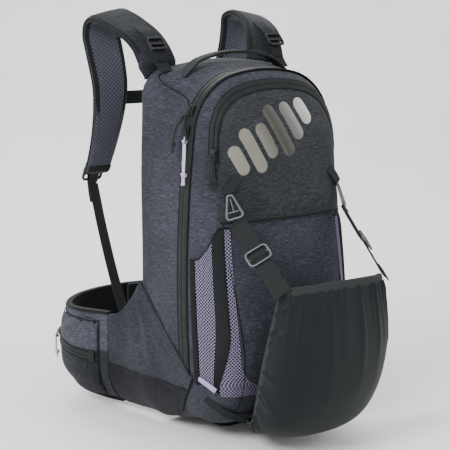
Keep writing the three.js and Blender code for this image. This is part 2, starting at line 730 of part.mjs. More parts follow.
function addCarrier() {
  const half = POUCH_THICKNESS / 2;
  const firstU = POUCH_BINDING.u + POUCH_BINDING.gap;
  const lastV = 1 - POUCH_BINDING.v - POUCH_BINDING.gap;
  const sheet = (u, v) => pouchPoint(lerp(firstU, 1 - firstU, u), v * lastV);
  add("carrier_pouch", slab(sheet, spread(18), spread(11), -half, half), STRETCH);

  const frame = (t, w) => pouchPoint(...pouchFrame(t, w));
  const legSteps = spread(12).map((t) => t * 0.36);
  const hemSteps = spread(16).map((t) => lerp(0.36, 0.64, t)).slice(1, -1);
  const steps = [...legSteps, ...hemSteps, ...legSteps.map((t) => 1 - t).reverse()];
  add("pouch_binding", slab(frame, steps, [0, 1], -half - 0.3, half + 0.3), BLACK_WEBBING);
}

// The strap that ties an upper corner of the pouch to the bag, with its hook and its slider.
function addCarrierStrap(side, name) {
  const low = point(side * 90, -212, 242);
  const high = point(side * 95, -124, 321);
  const along = high.clone().sub(low).normalize();
  const facing = point(side * 0.67, -0.52, 0.53);
  const across = along.clone().cross(facing).normalize();
  const outward = across.clone().cross(along);
  const line = new THREE.LineCurve3(low, high);
  const surface = strapSurface(line, CARRIER_WEBBING, across);
  const strap = slab(surface, spread(8), [0, 1], -WEBBING / 2, WEBBING / 2);
  add(`carrier_strap_${name}`, strap, BLACK_WEBBING);

  const sliderPlace = line.getPoint(0.5).addScaledVector(outward, 3.2);
  add(`carrier_slider_${name}`, buckleFrame(34, 24, 3), GREY_METAL, (mesh) =>
    aim(mesh, sliderPlace, along, outward),
  );

  const triangle = new THREE.Shape();
  const base = 14.5;
  const apex = 4.5;
  const height = 36;
  triangle.moveTo(-base, 0);
  triangle.lineTo(base, 0);
  triangle.lineTo(apex, height);
  triangle.lineTo(-apex, height);
  triangle.closePath();
  const inner = new THREE.Path();
  const wire = HOOK_WIRE;
  inner.moveTo(-base + wire * 1.5, wire);
  inner.lineTo(base - wire * 1.5, wire);
  inner.lineTo(apex - wire * 0.75, height - wire);
  inner.lineTo(-apex + wire * 0.75, height - wire);
  inner.closePath();
  triangle.holes.push(inner);
  const hookAlong = point(-side * 0.02, 0.45, 0.89);
  const hookPlace = high.clone().addScaledVector(along, 4).addScaledVector(outward, 1.8);
  add(`carrier_hook_${name}`, plate(triangle, HOOK_WIRE), GREY_METAL, (mesh) =>
    aim(mesh, hookPlace, hookAlong, outward),
  );

  // the webbing tab on the bag that the hook catches
  const tabTop = [side * 84, 372];
  const tabLow = [side * 95, 359];
  const tabAcross = new THREE.Vector2(tabLow[1] - tabTop[1], tabTop[0] - tabLow[0]).normalize();
  const tab = (u, v) => {
    const reach = (v - 0.5) * 14;
    const x = lerp(tabTop[0], tabLow[0], u) + tabAcross.x * reach;
    return frontAt(x, lerp(tabTop[1], tabLow[1], u) + tabAcross.y * reach);
  };
  const tabLift = POCKET.thickness + ON_BAG + 0.6;
  const tabSlab = slab(tab, spread(3), spread(2), tabLift, tabLift + WEBBING);
  add(`hook_loop_${name}`, tabSlab, BLACK_WEBBING);
}

// ---- zip sliders and their pull cords ------------------------------------------------------

const SLIDER = { width: 9, length: 15, thickness: 4.4 };
const CORD = { pull: 3.4, steps: 8 };
const onTape = ON_BAG + ZIP_THICKNESS + GAP + SLIDER.thickness / 2;

function addSlider(name, place, along, outward) {
  const shape = roundedRectangle(SLIDER.width, SLIDER.length, 3);
  add(name, plate(shape, SLIDER.thickness), BLACK_PLASTIC, (mesh) =>
    aim(mesh, place, along, outward),
  );
}

function addMainZipPulls() {
  const lowZ = 440;
  const lowX = sideX(lowZ) + onTape;
  addSlider("main_zip_slider_lower", point(-lowX, ZIP_PLANE.y, lowZ), point(0.1, 0, 1), point(-1, 0, 0.1));
  const lowCord = route([
    [-lowX - 4.6, -47, 432],
    [-lowX - 5.6, -49, 420],
    [-lowX - 7, -50, 402],
    [-lowX - 9, -51, 384],
    [-lowX - 10, -52, 366],
  ]);
  add("main_zip_cord_lower", cord(lowCord, CORD.pull, CORD.steps), LILAC_CORD);

  const corner = cornerArc(ZIP_PLANE.sideHighZ, ZIP_PLANE.cornerRadius, 0);
  const turn = degToRad(25);
  const reach = corner.radius + onTape;
  const highPlace = point(
    -corner.x - reach * Math.cos(turn),
    ZIP_PLANE.y,
    corner.z + reach * Math.sin(turn),
  );
  const highOut = point(-Math.cos(turn), 0, Math.sin(turn));
  addSlider("main_zip_slider_upper", highPlace, point(Math.sin(turn), 0, Math.cos(turn)), highOut);
  const highCord = route([
    [highPlace.x - 5.4, -41, highPlace.z - 5],
    [-126, -36, 455],
    [-131, -33, 444],
    [-136, -32, 428],
    [-137, -31, 408],
  ]);
  add("main_zip_cord_upper", cord(highCord, CORD.pull * 0.8, CORD.steps), BLACK_WEBBING);
}

function addFrontZipPull() {
  const strip = frontZipStrip();
  const at = 0.025;
  const place = strip(at, 0.5);
  const outward = surfaceNormal(strip, at, 0.5);
  if (outward.dot(place.clone().sub(bagCentre)) < 0) outward.negate();
  const lifted = place.clone().addScaledVector(outward, onTape + 0.6);
  const along = strip(at * 2, 0.5).sub(strip(0, 0.5));
  addSlider("front_zip_slider", lifted, along, outward);
  const hang = lifted.clone().addScaledVector(outward, 4.4);
  const pull = route([
    [hang.x, hang.y, hang.z - 5],
    [hang.x - 1, hang.y, hang.z - 18],
    [hang.x - 2, hang.y + 0.5, hang.z - 32],
    [hang.x - 2.5, hang.y + 1, hang.z - 46],
  ]);
  add("front_zip_cord", cord(pull, CORD.pull * 0.8, CORD.steps), BLACK_WEBBING);
}

// The slider and the pull cord of one hip pocket's zip.
function addHipZip(side, name) {
  const surface = hipPocketSurface(side, name);
  const waist = point(0, BELT.centreY, 100);
  const at = 0.93;
  const lower = surface(at, 0.53);
  const along = surface(at + 0.03, 0.53).sub(surface(at - 0.03, 0.53)).normalize();
  const outward = point(along.y, -along.x, 0).normalize();
  if (outward.dot(lower.clone().sub(waist)) < 0) outward.negate();
  const place = lower.clone().addScaledVector(outward, hipPuff(at, 0.53) + ZIP_THICKNESS + 3.2);
  addSlider(`hip_zip_slider_${name}`, place, along, outward);
  const hang = place.clone().addScaledVector(outward, 4.2);
  const pull = route([
    [hang.x, hang.y, hang.z - 2],
    [hang.x + outward.x * 2, hang.y + outward.y * 2, hang.z - 14],
    [hang.x + outward.x * 2, hang.y + outward.y * 2, hang.z - 28],
    [hang.x, hang.y, hang.z - 42],
  ]);
  add(`hip_zip_cord_${name}`, cord(pull, CORD.pull, CORD.steps), LILAC_CORD);
}

// The hook-and-loop tab that closes the belt, on the outside of the left wing.
function addClosureTab() {
  const wing = wingSurface(-1, "left");
  const surface = (u, v) => wing(lerp(0.48, 0.76, u), lerp(0.42, 0.98, v));
  const waist = point(0, BELT.centreY, 100);
  add("belt_closure_tab", slab(surface, spread(10), spread(3), 1.6, 5, waist), BLACK_WEBBING);
}

// ---- assembly ------------------------------------------------------------------------------

addBag();
addZipTapes();
addFrontPocket();
addBack();
addSternumStrap();
addHaulHandle();
addCarrier();
addMainZipPulls();
addFrontZipPull();
addClosureTab();
for (const [side, name] of [[-1, "left"], [1, "right"]]) {
  addSidePocket(side, name);
  addShoulderStrap(side, name);
  addStrapBuckles(side, name);
  addHipFin(side, name);
  addHipWing(side, name);
  addHipZip(side, name);
  addCarrierStrap(side, name);
}

export default backpack;
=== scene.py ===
"""Looks for the ski backpack: fabric, webbing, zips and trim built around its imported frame.

Lengths are millimetres in the shape functions and metres in Blender. +Z is up, the bag's front
looks towards -Y and the wearer's back is on the +Y side.
"""

import math

import bmesh
import bpy
import numpy as np
from mathutils import Matrix, Vector
from mathutils.bvhtree import BVHTree


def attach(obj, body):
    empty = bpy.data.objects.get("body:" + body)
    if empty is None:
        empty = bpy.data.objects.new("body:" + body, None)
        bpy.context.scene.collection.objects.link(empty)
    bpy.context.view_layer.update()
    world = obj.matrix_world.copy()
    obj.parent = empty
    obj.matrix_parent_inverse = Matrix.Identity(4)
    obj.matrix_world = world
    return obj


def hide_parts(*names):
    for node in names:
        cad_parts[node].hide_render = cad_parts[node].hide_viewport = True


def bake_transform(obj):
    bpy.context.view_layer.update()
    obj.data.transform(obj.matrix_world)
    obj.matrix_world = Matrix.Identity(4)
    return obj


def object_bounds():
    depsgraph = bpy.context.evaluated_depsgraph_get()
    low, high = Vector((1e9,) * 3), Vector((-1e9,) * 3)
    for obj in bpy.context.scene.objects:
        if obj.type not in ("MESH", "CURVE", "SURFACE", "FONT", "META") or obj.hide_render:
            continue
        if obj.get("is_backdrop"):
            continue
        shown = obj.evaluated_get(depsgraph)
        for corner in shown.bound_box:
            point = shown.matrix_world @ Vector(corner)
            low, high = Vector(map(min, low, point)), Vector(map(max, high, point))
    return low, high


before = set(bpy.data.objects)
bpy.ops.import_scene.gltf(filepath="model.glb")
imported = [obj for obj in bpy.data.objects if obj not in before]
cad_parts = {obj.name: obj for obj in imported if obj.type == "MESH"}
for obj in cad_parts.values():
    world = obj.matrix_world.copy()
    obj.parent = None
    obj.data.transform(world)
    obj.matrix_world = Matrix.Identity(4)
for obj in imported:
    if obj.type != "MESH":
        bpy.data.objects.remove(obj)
cad_low, cad_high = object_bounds()

MM = 0.001
RIGHT, BACK, UP = np.eye(3)
PHOTO_TURN, PHOTO_TILT = math.radians(-36), math.radians(10)
CAMERA_TARGET, CAMERA_DISTANCE, CAMERA_LENS = (0.0122, 0.0525, 0.2813), 2.2, 118.1
SIDES = [(-1, "left"), (1, "right")]
GAP, ON_BAG, WEBBING = 0.4, 1.2, 1.8
HALF_WIDTH, WIDEST_Z, CENTRE_Z, SIDE_LOW_Z = 131.5, 220, 250, 70
CORNER_END = math.radians(78)
ZIP_Y, ZIP_WIDTH, ZIP_THICKNESS = -45, 16, 1
BACK_Y, BACK_EDGE = 62, 6
POCKET_SEAM_Z, POCKET_THICKNESS = 318, 5
STRAP_THICKNESS = 12
BELT_Y, BELT_HALF_WIDTH, BELT_HALF_DEPTH = 202, 156, 128
SEAM = (142, 135)
WING_THICKNESS = 9
BAG_MIDDLE = np.array([0.0, 0.0, CENTRE_Z])
WAIST = np.array([0.0, BELT_Y, 100.0])

# ---- camera, floor and light -----------------------------------------------------------------


def add_camera():
    """The photograph's view."""
    camera = bpy.data.objects.new("camera", bpy.data.cameras.new("camera"))
    bpy.context.scene.collection.objects.link(camera)
    level = math.cos(PHOTO_TILT)
    back = Vector((math.sin(PHOTO_TURN) * level, -math.cos(PHOTO_TURN) * level, math.sin(PHOTO_TILT)))
    camera.location = Vector(CAMERA_TARGET) + back * CAMERA_DISTANCE
    camera.rotation_euler = (-back).to_track_quat("-Z", "Y").to_euler()
    camera.data.lens, camera.data.sensor_width = CAMERA_LENS, 36
    camera.data.clip_start, camera.data.clip_end = 0.1, 30
    bpy.context.scene.camera = camera


def add_light(name, place, size, power, target=(0, 0.03, 0.28)):
    lamp = bpy.data.lights.new(name, "AREA")
    lamp.energy, lamp.size = power, size
    obj = bpy.data.objects.new(name, lamp)
    bpy.context.scene.collection.objects.link(obj)
    obj.location = place
    obj.rotation_euler = (Vector(target) - Vector(place)).to_track_quat("-Z", "Y").to_euler()


# ---- small tools -----------------------------------------------------------------------------


def mix(a, b, t):
    return a + (b - a) * t


def smooth(x, a, b):
    t = np.clip((np.asarray(x, float) - a) / (b - a), 0, 1)
    return t * t * (3 - 2 * t)


def bump_at(x, place, width):
    return np.exp(-(((np.asarray(x, float) - place) / width) ** 2))


def xyz(x, y, z):
    return np.stack(np.broadcast_arrays(x, y, z), -1).astype(float)


def unit(v):
    return v / np.maximum(np.linalg.norm(v, axis=-1, keepdims=True), 1e-12)


LATTICE = np.random.RandomState(11).rand(32, 32, 32)


def noise(points, size):
    """Smooth value noise from -1 to 1, with cells of the given size in millimetres."""
    q = np.asarray(points, float) / np.asarray(size, float)
    i = np.floor(q).astype(int)
    f = q - i
    f = f * f * (3 - 2 * f)
    total = 0
    for corner in range(8):
        d = [(corner >> axis) & 1 for axis in range(3)]
        weight = np.prod([f[..., a] if d[a] else 1 - f[..., a] for a in range(3)], axis=0)
        total = total + weight * LATTICE[tuple((i[..., a] + d[a]) % 32 for a in range(3))]
    return 2 * total - 1


class Route:
    """A centripetal Catmull-Rom curve through points, read by t from 0 to 1."""

    def __init__(self, points):
        p = np.array(points, float)
        self.points = np.vstack([2 * p[0] - p[1], p, 2 * p[-1] - p[-2]])
        self.spans = len(p) - 1

    def __call__(self, t):
        t = np.clip(np.asarray(t, float), 0, 1) * self.spans
        i = np.minimum(np.floor(t).astype(int), self.spans - 1)
        w = (t - i)[..., None]
        a, b, c, d = (self.points[i + k] for k in range(4))
        pairs = ((a, b), (b, c), (c, d))
        gap = [np.sqrt(np.linalg.norm(q - p, axis=-1, keepdims=True)) for p, q in pairs]
        from_b = ((b - a) / gap[0] - (c - a) / (gap[0] + gap[1]) + (c - b) / gap[1]) * gap[1]
        to_c = ((c - b) / gap[1] - (d - b) / (gap[1] + gap[2]) + (d - c) / gap[2]) * gap[1]
        cubic = 2 * b - 2 * c + from_b + to_c
        square = -3 * b + 3 * c - 2 * from_b - to_c
        return b + w * (from_b + w * (square + w * cubic))


def spread(n, low=0.0, high=1.0):
    return np.linspace(low, high, n + 1)


def run_along(points):
    """The distance along a line at each of its points."""
    return np.concatenate([[0], np.cumsum(np.linalg.norm(np.diff(points, axis=0), axis=1))])


def evenly(values, points, count):
    """Values given at a line's points, read at evenly spaced places along the line."""
    length = run_along(points)
    at = np.linspace(0, length[-1], count)
    return np.stack([np.interp(at, length, values[:, axis]) for axis in range(3)], -1)


def resample(points, step):
    """The same line with points about a step apart."""
    return evenly(points, points, max(2, int(round(run_along(points)[-1] / step)) + 1))


# ---- meshes ----------------------------------------------------------------------------------
# A part is (vertices, faces, uv): millimetres, lists of indices, and a uv in millimetres per vertex.


def grid_faces(rows, columns, wrap=False):
    i, j = np.meshgrid(np.arange(rows - 1), np.arange(columns if wrap else columns - 1), indexing="ij")
    k = (j + 1) % columns
    return np.stack([i * columns + j, i * columns + k, (i + 1) * columns + k, (i + 1) * columns + j], -1)


def merged(parts):
    vertices, faces, uvs, base = [], [], [], 0
    for v, f, t in parts:
        vertices.append(v)
        faces.extend([[i + base for i in face] for face in f])
        uvs.append(t)
        base += len(v)
    return np.vstack(vertices), faces, np.vstack(uvs)


def normals_of(surface, u, v):
    e = 1e-3
    along = surface(np.minimum(u + e, 1), v) - surface(np.maximum(u - e, 0), v)
    across = surface(u, np.minimum(v + e, 1)) - surface(u, np.maximum(v - e, 0))
    return unit(np.cross(along, across))


def turned_out(normal, at, inside=BAG_MIDDLE):
    """The normals, flipped where needed so that they look away from the inside point."""
    return normal * np.sign(np.sum(normal * (at - inside), -1))[..., None]


def slab(surface, us, vs, low, high, inside=BAG_MIDDLE, rumple=None):
    """A sheet between two offsets from surface(u, v), measured away from the inside point."""
    u, v = np.meshgrid(np.asarray(us, float), np.asarray(vs, float), indexing="ij")
    at, normal = surface(u, v), normals_of(surface, u, v)
    middle = surface(np.array([[0.5]]), np.array([[0.5]]))[0, 0]
    facing = normals_of(surface, np.array([[0.5]]), np.array([[0.5]]))[0, 0]
    normal = normal * (1 if np.dot(middle - inside, facing) > 0 else -1)
    read = lambda value: (value(u, v) if callable(value) else value) * np.ones_like(u)
    outer = at + normal * (read(high) + (rumple(at) if rumple else 0))[..., None]
    inner = at + normal * read(low)[..., None]
    rows, columns = u.shape
    count = rows * columns
    face = grid_faces(rows, columns).reshape(-1, 4)
    faces = face.tolist() + (face[:, ::-1] + count).tolist()
    rim = np.concatenate([
        np.arange(columns - 1), np.arange(rows - 1) * columns + columns - 1,
        count - 1 - np.arange(columns - 1), (rows - 1 - np.arange(rows - 1)) * columns,
    ])
    following = np.roll(rim, -1)
    faces += np.stack([following, rim, rim + count, following + count], -1).tolist()
    run = run_along(at[:, columns // 2])
    steps = np.linalg.norm(np.diff(at, axis=1), axis=2)
    wide = np.concatenate([np.zeros((rows, 1)), np.cumsum(steps, 1)], 1)
    wide -= wide[:, -1:] / 2
    uv = np.stack([np.broadcast_to(run[:, None], u.shape), wide], -1).reshape(-1, 2)
    return np.vstack([outer.reshape(-1, 3), inner.reshape(-1, 3)]), faces, np.vstack([uv, uv])


def sweep(centres, side, normal, section, closed=False):
    """A closed section, given along two directions at each centre, carried along the centres."""
    centres = np.asarray(centres, float)
    section = np.broadcast_to(section, (len(centres),) + np.shape(section)[-2:])
    side, normal = (np.broadcast_to(d, centres.shape)[:, None] for d in (side, normal))
    ring = centres[:, None] + section[..., :1] * side + section[..., 1:] * normal
    rows, columns = ring.shape[:2]
    faces = grid_faces(rows, columns, wrap=True).reshape(-1, 4).tolist()
    if closed:
        last = (rows - 1) * columns
        faces += [[last + j, last + (j + 1) % columns, (j + 1) % columns, j] for j in range(columns)]
    else:
        faces += [list(range(columns)), [(rows - 1) * columns + j for j in reversed(range(columns))]]
    run = run_along(centres)
    uv = np.stack([np.broadcast_to(run[:, None], (rows, columns)), section[..., 0]], -1)
    return ring.reshape(-1, 3), faces, uv.reshape(-1, 2)


def tube(points, radius, sides=8, closed=False):
    points = np.asarray(points, float)
    ahead = np.roll(points, -1, 0) - np.roll(points, 1, 0)
    if not closed:
        ahead[0], ahead[-1] = points[1] - points[0], points[-1] - points[-2]
    ahead = unit(ahead)
    side = np.zeros_like(points)
    start = np.cross(ahead[0], [0.3, 0.2, 0.93])
    side[0] = unit(start if np.linalg.norm(start) > 0.2 else np.cross(ahead[0], [1, 0, 0]))
    for i in range(1, len(points)):
        side[i] = unit(side[i - 1] - ahead[i] * np.dot(side[i - 1], ahead[i]))
    turn = np.arange(sides) * 2 * math.pi / sides
    circle = np.stack([np.cos(turn), np.sin(turn)], -1) * np.reshape(radius, (-1, 1, 1))
    return sweep(points, side, np.cross(ahead, side), circle, closed)


def strip_section(width, thickness, bow=0.0):
    """A flat strip's section with rounded edges, bowed outwards in the middle."""
    a = np.array([-0.5, -0.47, -0.25, 0, 0.25, 0.47, 0.5]) * width
    rise = bow * (1 - (2 * a / width) ** 2)
    half = thickness / 2 * np.array([0.35, 1, 1, 1, 1, 1, 0.35])
    top = np.stack([a, rise + half], -1)
    return np.vstack([top, np.stack([a, rise - half], -1)[::-1]])


def frames_along(points, side):
    """Tangent-based normals for a line whose side direction is known."""
    ahead = np.gradient(np.asarray(points, float), axis=0)
    normal = unit(np.cross(np.broadcast_to(side, points.shape), unit(ahead)))
    return unit(np.cross(ahead, normal)), normal


def stitches(points, normal, length=3.2, pitch=4.6, lift=0.25, radius=0.32):
    """A row of short threads along a line."""
    line = resample(np.asarray(points, float), 0.8)
    normal = evenly(np.broadcast_to(normal, np.shape(points)), points, len(line))
    per, step = max(2, int(length / 0.8)), max(3, int(pitch / 0.8))
    parts = []
    for i in range(0, len(line) - per - 1, step):
        dash = slice(i, i + per + 1, max(1, per // 2))
        parts.append(tube(line[dash] + normal[dash] * lift, radius, 5))
    return merged(parts)


def basis(along, facing):
    y = unit(np.array(along, float))
    z = np.array(facing, float)
    z = unit(z - y * np.dot(z, y))
    return np.cross(y, z), y, z


def placed(part, place, along, facing):
    """Turns a part so that its Y runs along one direction and its Z looks along another."""
    v, f, t = part
    x, y, z = basis(along, facing)
    return np.array(place) + v[:, :1] * x + v[:, 1:2] * y + v[:, 2:] * z, f, t


def piece(name, part, material, body, replaces=(), sharp=42, bevel=0.0):
    """Makes a part into a Blender object and says what it rides on, replaces and is made of."""
    vertices, faces, uv = part
    mesh = bpy.data.meshes.new(name)
    mesh.from_pydata((np.asarray(vertices) * MM).tolist(), [], faces)
    loops = np.zeros(len(mesh.loops), int)
    mesh.loops.foreach_get("vertex_index", loops)
    layer = mesh.uv_layers.new(name="UVMap")
    layer.data.foreach_set("uv", np.asarray(uv)[loops].ravel())
    obj = bpy.data.objects.new(name, mesh)
    bpy.context.scene.collection.objects.link(obj)
    turn_out(obj)
    mesh.polygons.foreach_set("use_smooth", [True] * len(mesh.polygons))
    mesh.set_sharp_from_angle(angle=math.radians(sharp))
    mesh.materials.append(material)
    if bevel:
        soften(obj, bevel, 2, 40)
    if body:
        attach(obj, body)
    if replaces:
        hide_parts(*replaces)
    return obj


def soften(obj, width, segments, angle):
    """A bevel in millimetres on the edges that are sharper than the angle."""
    modifier = obj.modifiers.new("bevel", "BEVEL")
    modifier.width, modifier.segments, modifier.angle_limit = width * MM, segments, math.radians(angle)


def turn_out(obj):
    """Makes every face look outwards."""
    bm = bmesh.new()
    bm.from_mesh(obj.data)
    bmesh.ops.recalc_face_normals(bm, faces=bm.faces)
    bm.to_mesh(obj.data)
    bm.free()


def settle(obj):
    """Applies the object's modifiers to its mesh."""
    bpy.context.view_layer.update()
    evaluated = obj.evaluated_get(bpy.context.evaluated_depsgraph_get())
    mesh = bpy.data.meshes.new_from_object(evaluated)
    obj.modifiers.clear()
    obj.data = mesh


def inflate(obj, cap, voxel=4.0, pressure=4.0, frames=20):
    """Fills a padded piece by cloth simulation, with no point moving further than the cap."""
    remesh = obj.modifiers.new("remesh", "REMESH")
    remesh.mode, remesh.voxel_size = "VOXEL", voxel * MM
    settle(obj)
    before = np.array([v.co for v in obj.data.vertices])
    cloth = obj.modifiers.new("cloth", "CLOTH")
    cloth.settings.use_pressure = True
    cloth.settings.uniform_pressure_force = pressure
    cloth.settings.effector_weights.gravity = 0
    cloth.settings.quality = 5
    cloth.point_cache.frame_end = frames
    for number in range(1, frames + 1):
        bpy.context.scene.frame_set(number)
    settle(obj)
    bpy.context.scene.frame_set(1)
    after = np.array([v.co for v in obj.data.vertices])
    move = after - before
    far = np.linalg.norm(move, axis=1, keepdims=True)
    move *= np.minimum(1, cap * MM / np.maximum(far, 1e-9))
    obj.data.vertices.foreach_set("co", (before + move).ravel())
    smoothing = obj.modifiers.new("smooth", "SMOOTH")
    smoothing.iterations = 3
    finer = obj.modifiers.new("subdivision", "SUBSURF")
    finer.levels = finer.render_levels = 1
    settle(obj)
    obj.data.polygons.foreach_set("use_smooth", [True] * len(obj.data.polygons))


# ---- materials -------------------------------------------------------------------------------


class Shader:
    """A principled material with a few short ways to add nodes."""

    def __init__(self, name, roughness, metallic=0.0, specular=0.3, sheen=0.0):
        self.material = bpy.data.materials.new(name)
        self.material.use_nodes = True
        self.tree = self.material.node_tree
        self.surface = next(n for n in self.tree.nodes if n.type == "BSDF_PRINCIPLED")
        self.surface.inputs["Roughness"].default_value = roughness
        self.surface.inputs["Metallic"].default_value = metallic
        self.surface.inputs["Specular IOR Level"].default_value = specular
        self.surface.inputs["Sheen Weight"].default_value = sheen
        self.surface.inputs["Sheen Roughness"].default_value = 0.5
        self.coordinates = self.tree.nodes.new("ShaderNodeTexCoord")
        self.object = self.coordinates.outputs["Object"]
        uv = self.node("SeparateXYZ", Vector=self.coordinates.outputs["UV"])
        self.along, self.across = uv.outputs["X"], uv.outputs["Y"]

    def node(self, kind, settings=None, **inputs):
        node = self.tree.nodes.new("ShaderNode" + kind)
        for key, value in (settings or {}).items():
            setattr(node, key, value)
        for key, value in inputs.items():
            self.feed(node.inputs[key.replace("_", " ")], value)
        return node

    def feed(self, socket, value):
        if isinstance(value, bpy.types.NodeSocket):
            self.tree.links.new(value, socket)
        else:
            socket.default_value = value

    def math(self, operation, a, b=0.0):
        node = self.node("Math", {"operation": operation})
        self.feed(node.inputs[0], a)
        self.feed(node.inputs[1], b)
        return node.outputs[0]

    def noise(self, scale, detail=2.0, roughness=0.5, stretch=(1, 1, 1)):
        mapping = self.node("Mapping", Vector=self.object, Scale=stretch)
        return self.node(
            "TexNoise", Vector=mapping.outputs[0], Scale=scale, Detail=detail, Roughness=roughness
        ).outputs["Fac"]

    def ramp(self, factor, stops):
        node = self.node("ValToRGB", Fac=factor)
        elements = node.color_ramp.elements
        while len(elements) < len(stops):
            elements.new(0.5)
        for element, (place, colour) in zip(elements, stops):
            element.position, element.color = place, (*colour, 1)
        return node.outputs["Color"]

    def grey(self, factor, low, high, a=0.0, b=1.0):
        node = self.node("MapRange", {"clamp": True}, Value=factor)
        for key, value in (("From Min", low), ("From Max", high), ("To Min", a), ("To Max", b)):
            node.inputs[key].default_value = value
        return node.outputs[0]

    def blend(self, factor, a, b, how="MIX"):
        node = self.node("Mix", {"data_type": "RGBA", "blend_type": how})
        self.feed(node.inputs["Factor"], factor)
        self.feed(node.inputs["A"], (*a, 1) if isinstance(a, tuple) else a)
        self.feed(node.inputs["B"], (*b, 1) if isinstance(b, tuple) else b)
        return node.outputs["Result"]

    def wave(self, value, period):
        """0 to 1 and back over each period of a value in millimetres."""
        turn = self.math("MULTIPLY", value, 2 * math.pi / period)
        return self.grey(self.math("COSINE", turn), -1, 1)

    def finish(self, colour, height=None, strength=0.3, distance=0.4, roughness=None):
        self.feed(self.surface.inputs["Base Color"], colour)
        if roughness is not None:
            self.feed(self.surface.inputs["Roughness"], roughness)
        if height is not None:
            bump = self.node("Bump", Height=height, Strength=strength, Distance=distance * MM)
            self.feed(self.surface.inputs["Normal"], bump.outputs[0])
        return self.material


def tone(colour, by):
    return tuple(min(1.0, c * by) for c in colour)


def heather(name, base, graphic=False, painted_shade_below=None):
    """A woven fabric of dark yarn with short pale flecks, darkened by painted shade below the given height
    in metres, where the lower part faces down.
    """
    s = Shader(name, 0.92, specular=0.08, sheen=0.06)
    streak = s.noise(1.0, 3.0, 0.6, (120, 120, 1000))
    fine = s.noise(1.0, 2.0, 0.5, (460, 460, 1500))
    both = s.math("ADD", s.math("MULTIPLY", streak, 0.6), s.math("MULTIPLY", fine, 0.4))
    colour = s.ramp(both, [
        (0.36, tone(base, 0.5)), (0.46, tone(base, 0.85)), (0.53, tone(base, 1.12)),
        (0.6, tone(base, 1.75)), (0.7, tone(base, 2.6)),
    ])
    cloud = s.grey(s.noise(12.0, 3.0), 0.35, 0.65, 0.82, 1.14)
    # painted shade: below the given height the colour is multiplied down to 0.42, for the lower part that
    # faces down away from the light
    if painted_shade_below:
        height = s.node("SeparateXYZ", Vector=s.object).outputs["Z"]
        light = s.grey(height, painted_shade_below - 0.0015, painted_shade_below + 0.0015, 0.42, 1.0)
        cloud = s.math("MULTIPLY", cloud, light)
    shade = s.node("CombineColor", Red=cloud, Green=cloud, Blue=cloud).outputs[0]
    colour = s.blend(1.0, colour, shade, "MULTIPLY")
    roughness = None
    if graphic:
        colour, roughness = printed(s, colour)
    weave = s.math("MULTIPLY", s.wave(s.along, 1.3), s.wave(s.across, 1.1))
    height = s.math("ADD", s.math("MULTIPLY", weave, 0.35), both)
    return s.finish(colour, height, 0.45, 0.5, roughness)


def printed(s, colour):
    """A plain print: a slanted row of upright dashes with round ends, from taupe to dark to silver."""
    place = s.node("SeparateXYZ", Vector=s.object)
    x, z = (s.math("MULTIPLY", place.outputs[axis], 1000) for axis in ("X", "Z"))
    slant = math.radians(28)
    right = s.math("ADD", s.math("MULTIPLY", x, math.cos(slant)), s.math("MULTIPLY", z, math.sin(slant)))
    up = s.math("ADD", s.math("MULTIPLY", x, -math.sin(slant)), s.math("MULTIPLY", z, math.cos(slant)))
    mask = None
    for centre, half_length in ((121, 12), (147, 24), (173, 17), (199, 30), (225, 19), (251, 10)):
        from_middle = s.math("ABSOLUTE", s.math("SUBTRACT", up, 390))
        past_end = s.math("MAXIMUM", s.math("SUBTRACT", from_middle, half_length), 0.0)
        off_line = s.math("SUBTRACT", right, centre)
        squares = [s.math("MULTIPLY", part, part) for part in (past_end, off_line)]
        squared = s.math("ADD", *squares)
        inside = s.grey(s.math("SQRT", squared), 9.1, 9.9, 1.0, 0.0)
        mask = inside if mask is None else s.math("MAXIMUM", mask, inside)
    ink = s.ramp(s.grey(right, 106, 264), [
        (0.0, (0.2, 0.194, 0.162)), (0.35, (0.17, 0.165, 0.138)), (0.58, (0.045, 0.045, 0.04)),
        (0.75, (0.13, 0.13, 0.12)), (1.0, (0.5, 0.5, 0.48)),
    ])
    worn = s.grey(s.noise(420.0, 2.0), 0.3, 0.42, 0.7, 1.0)
    mask = s.math("MULTIPLY", mask, worn)
    return s.blend(mask, colour, ink), s.grey(mask, 0, 1, 0.92, 0.5)


def webbing(name, base, rib=1.7):
    s = Shader(name, 0.8, specular=0.14, sheen=0.03)
    ribs = s.wave(s.along, rib)
    yarn = s.noise(700.0, 2.0)
    shade = s.math("ADD", s.math("MULTIPLY", ribs, 0.5), s.math("MULTIPLY", yarn, 0.8))
    colour = s.ramp(shade, [(0.25, tone(base, 0.6)), (0.65, base), (0.95, tone(base, 1.55))])
    return s.finish(colour, shade, 0.5, 0.5)


def zip_tape(name, base):
    s = Shader(name, 0.58, specular=0.18)
    middle = s.grey(s.math("ABSOLUTE", s.across), 0.25, 0.75, 0.25, 1.0)
    twill = s.wave(s.math("ADD", s.along, s.math("MULTIPLY", s.across, 0.6)), 0.9)
    cloud = s.noise(60.0, 3.0)
    tint = s.ramp(cloud, [(0.3, tone(base, 0.8)), (0.7, tone(base, 1.2))])
    shade = s.node("CombineColor", Red=middle, Green=middle, Blue=middle).outputs[0]
    colour = s.blend(1.0, tint, shade, "MULTIPLY")
    return s.finish(colour, s.math("ADD", s.math("MULTIPLY", twill, 0.25), middle), 0.35, 0.4)


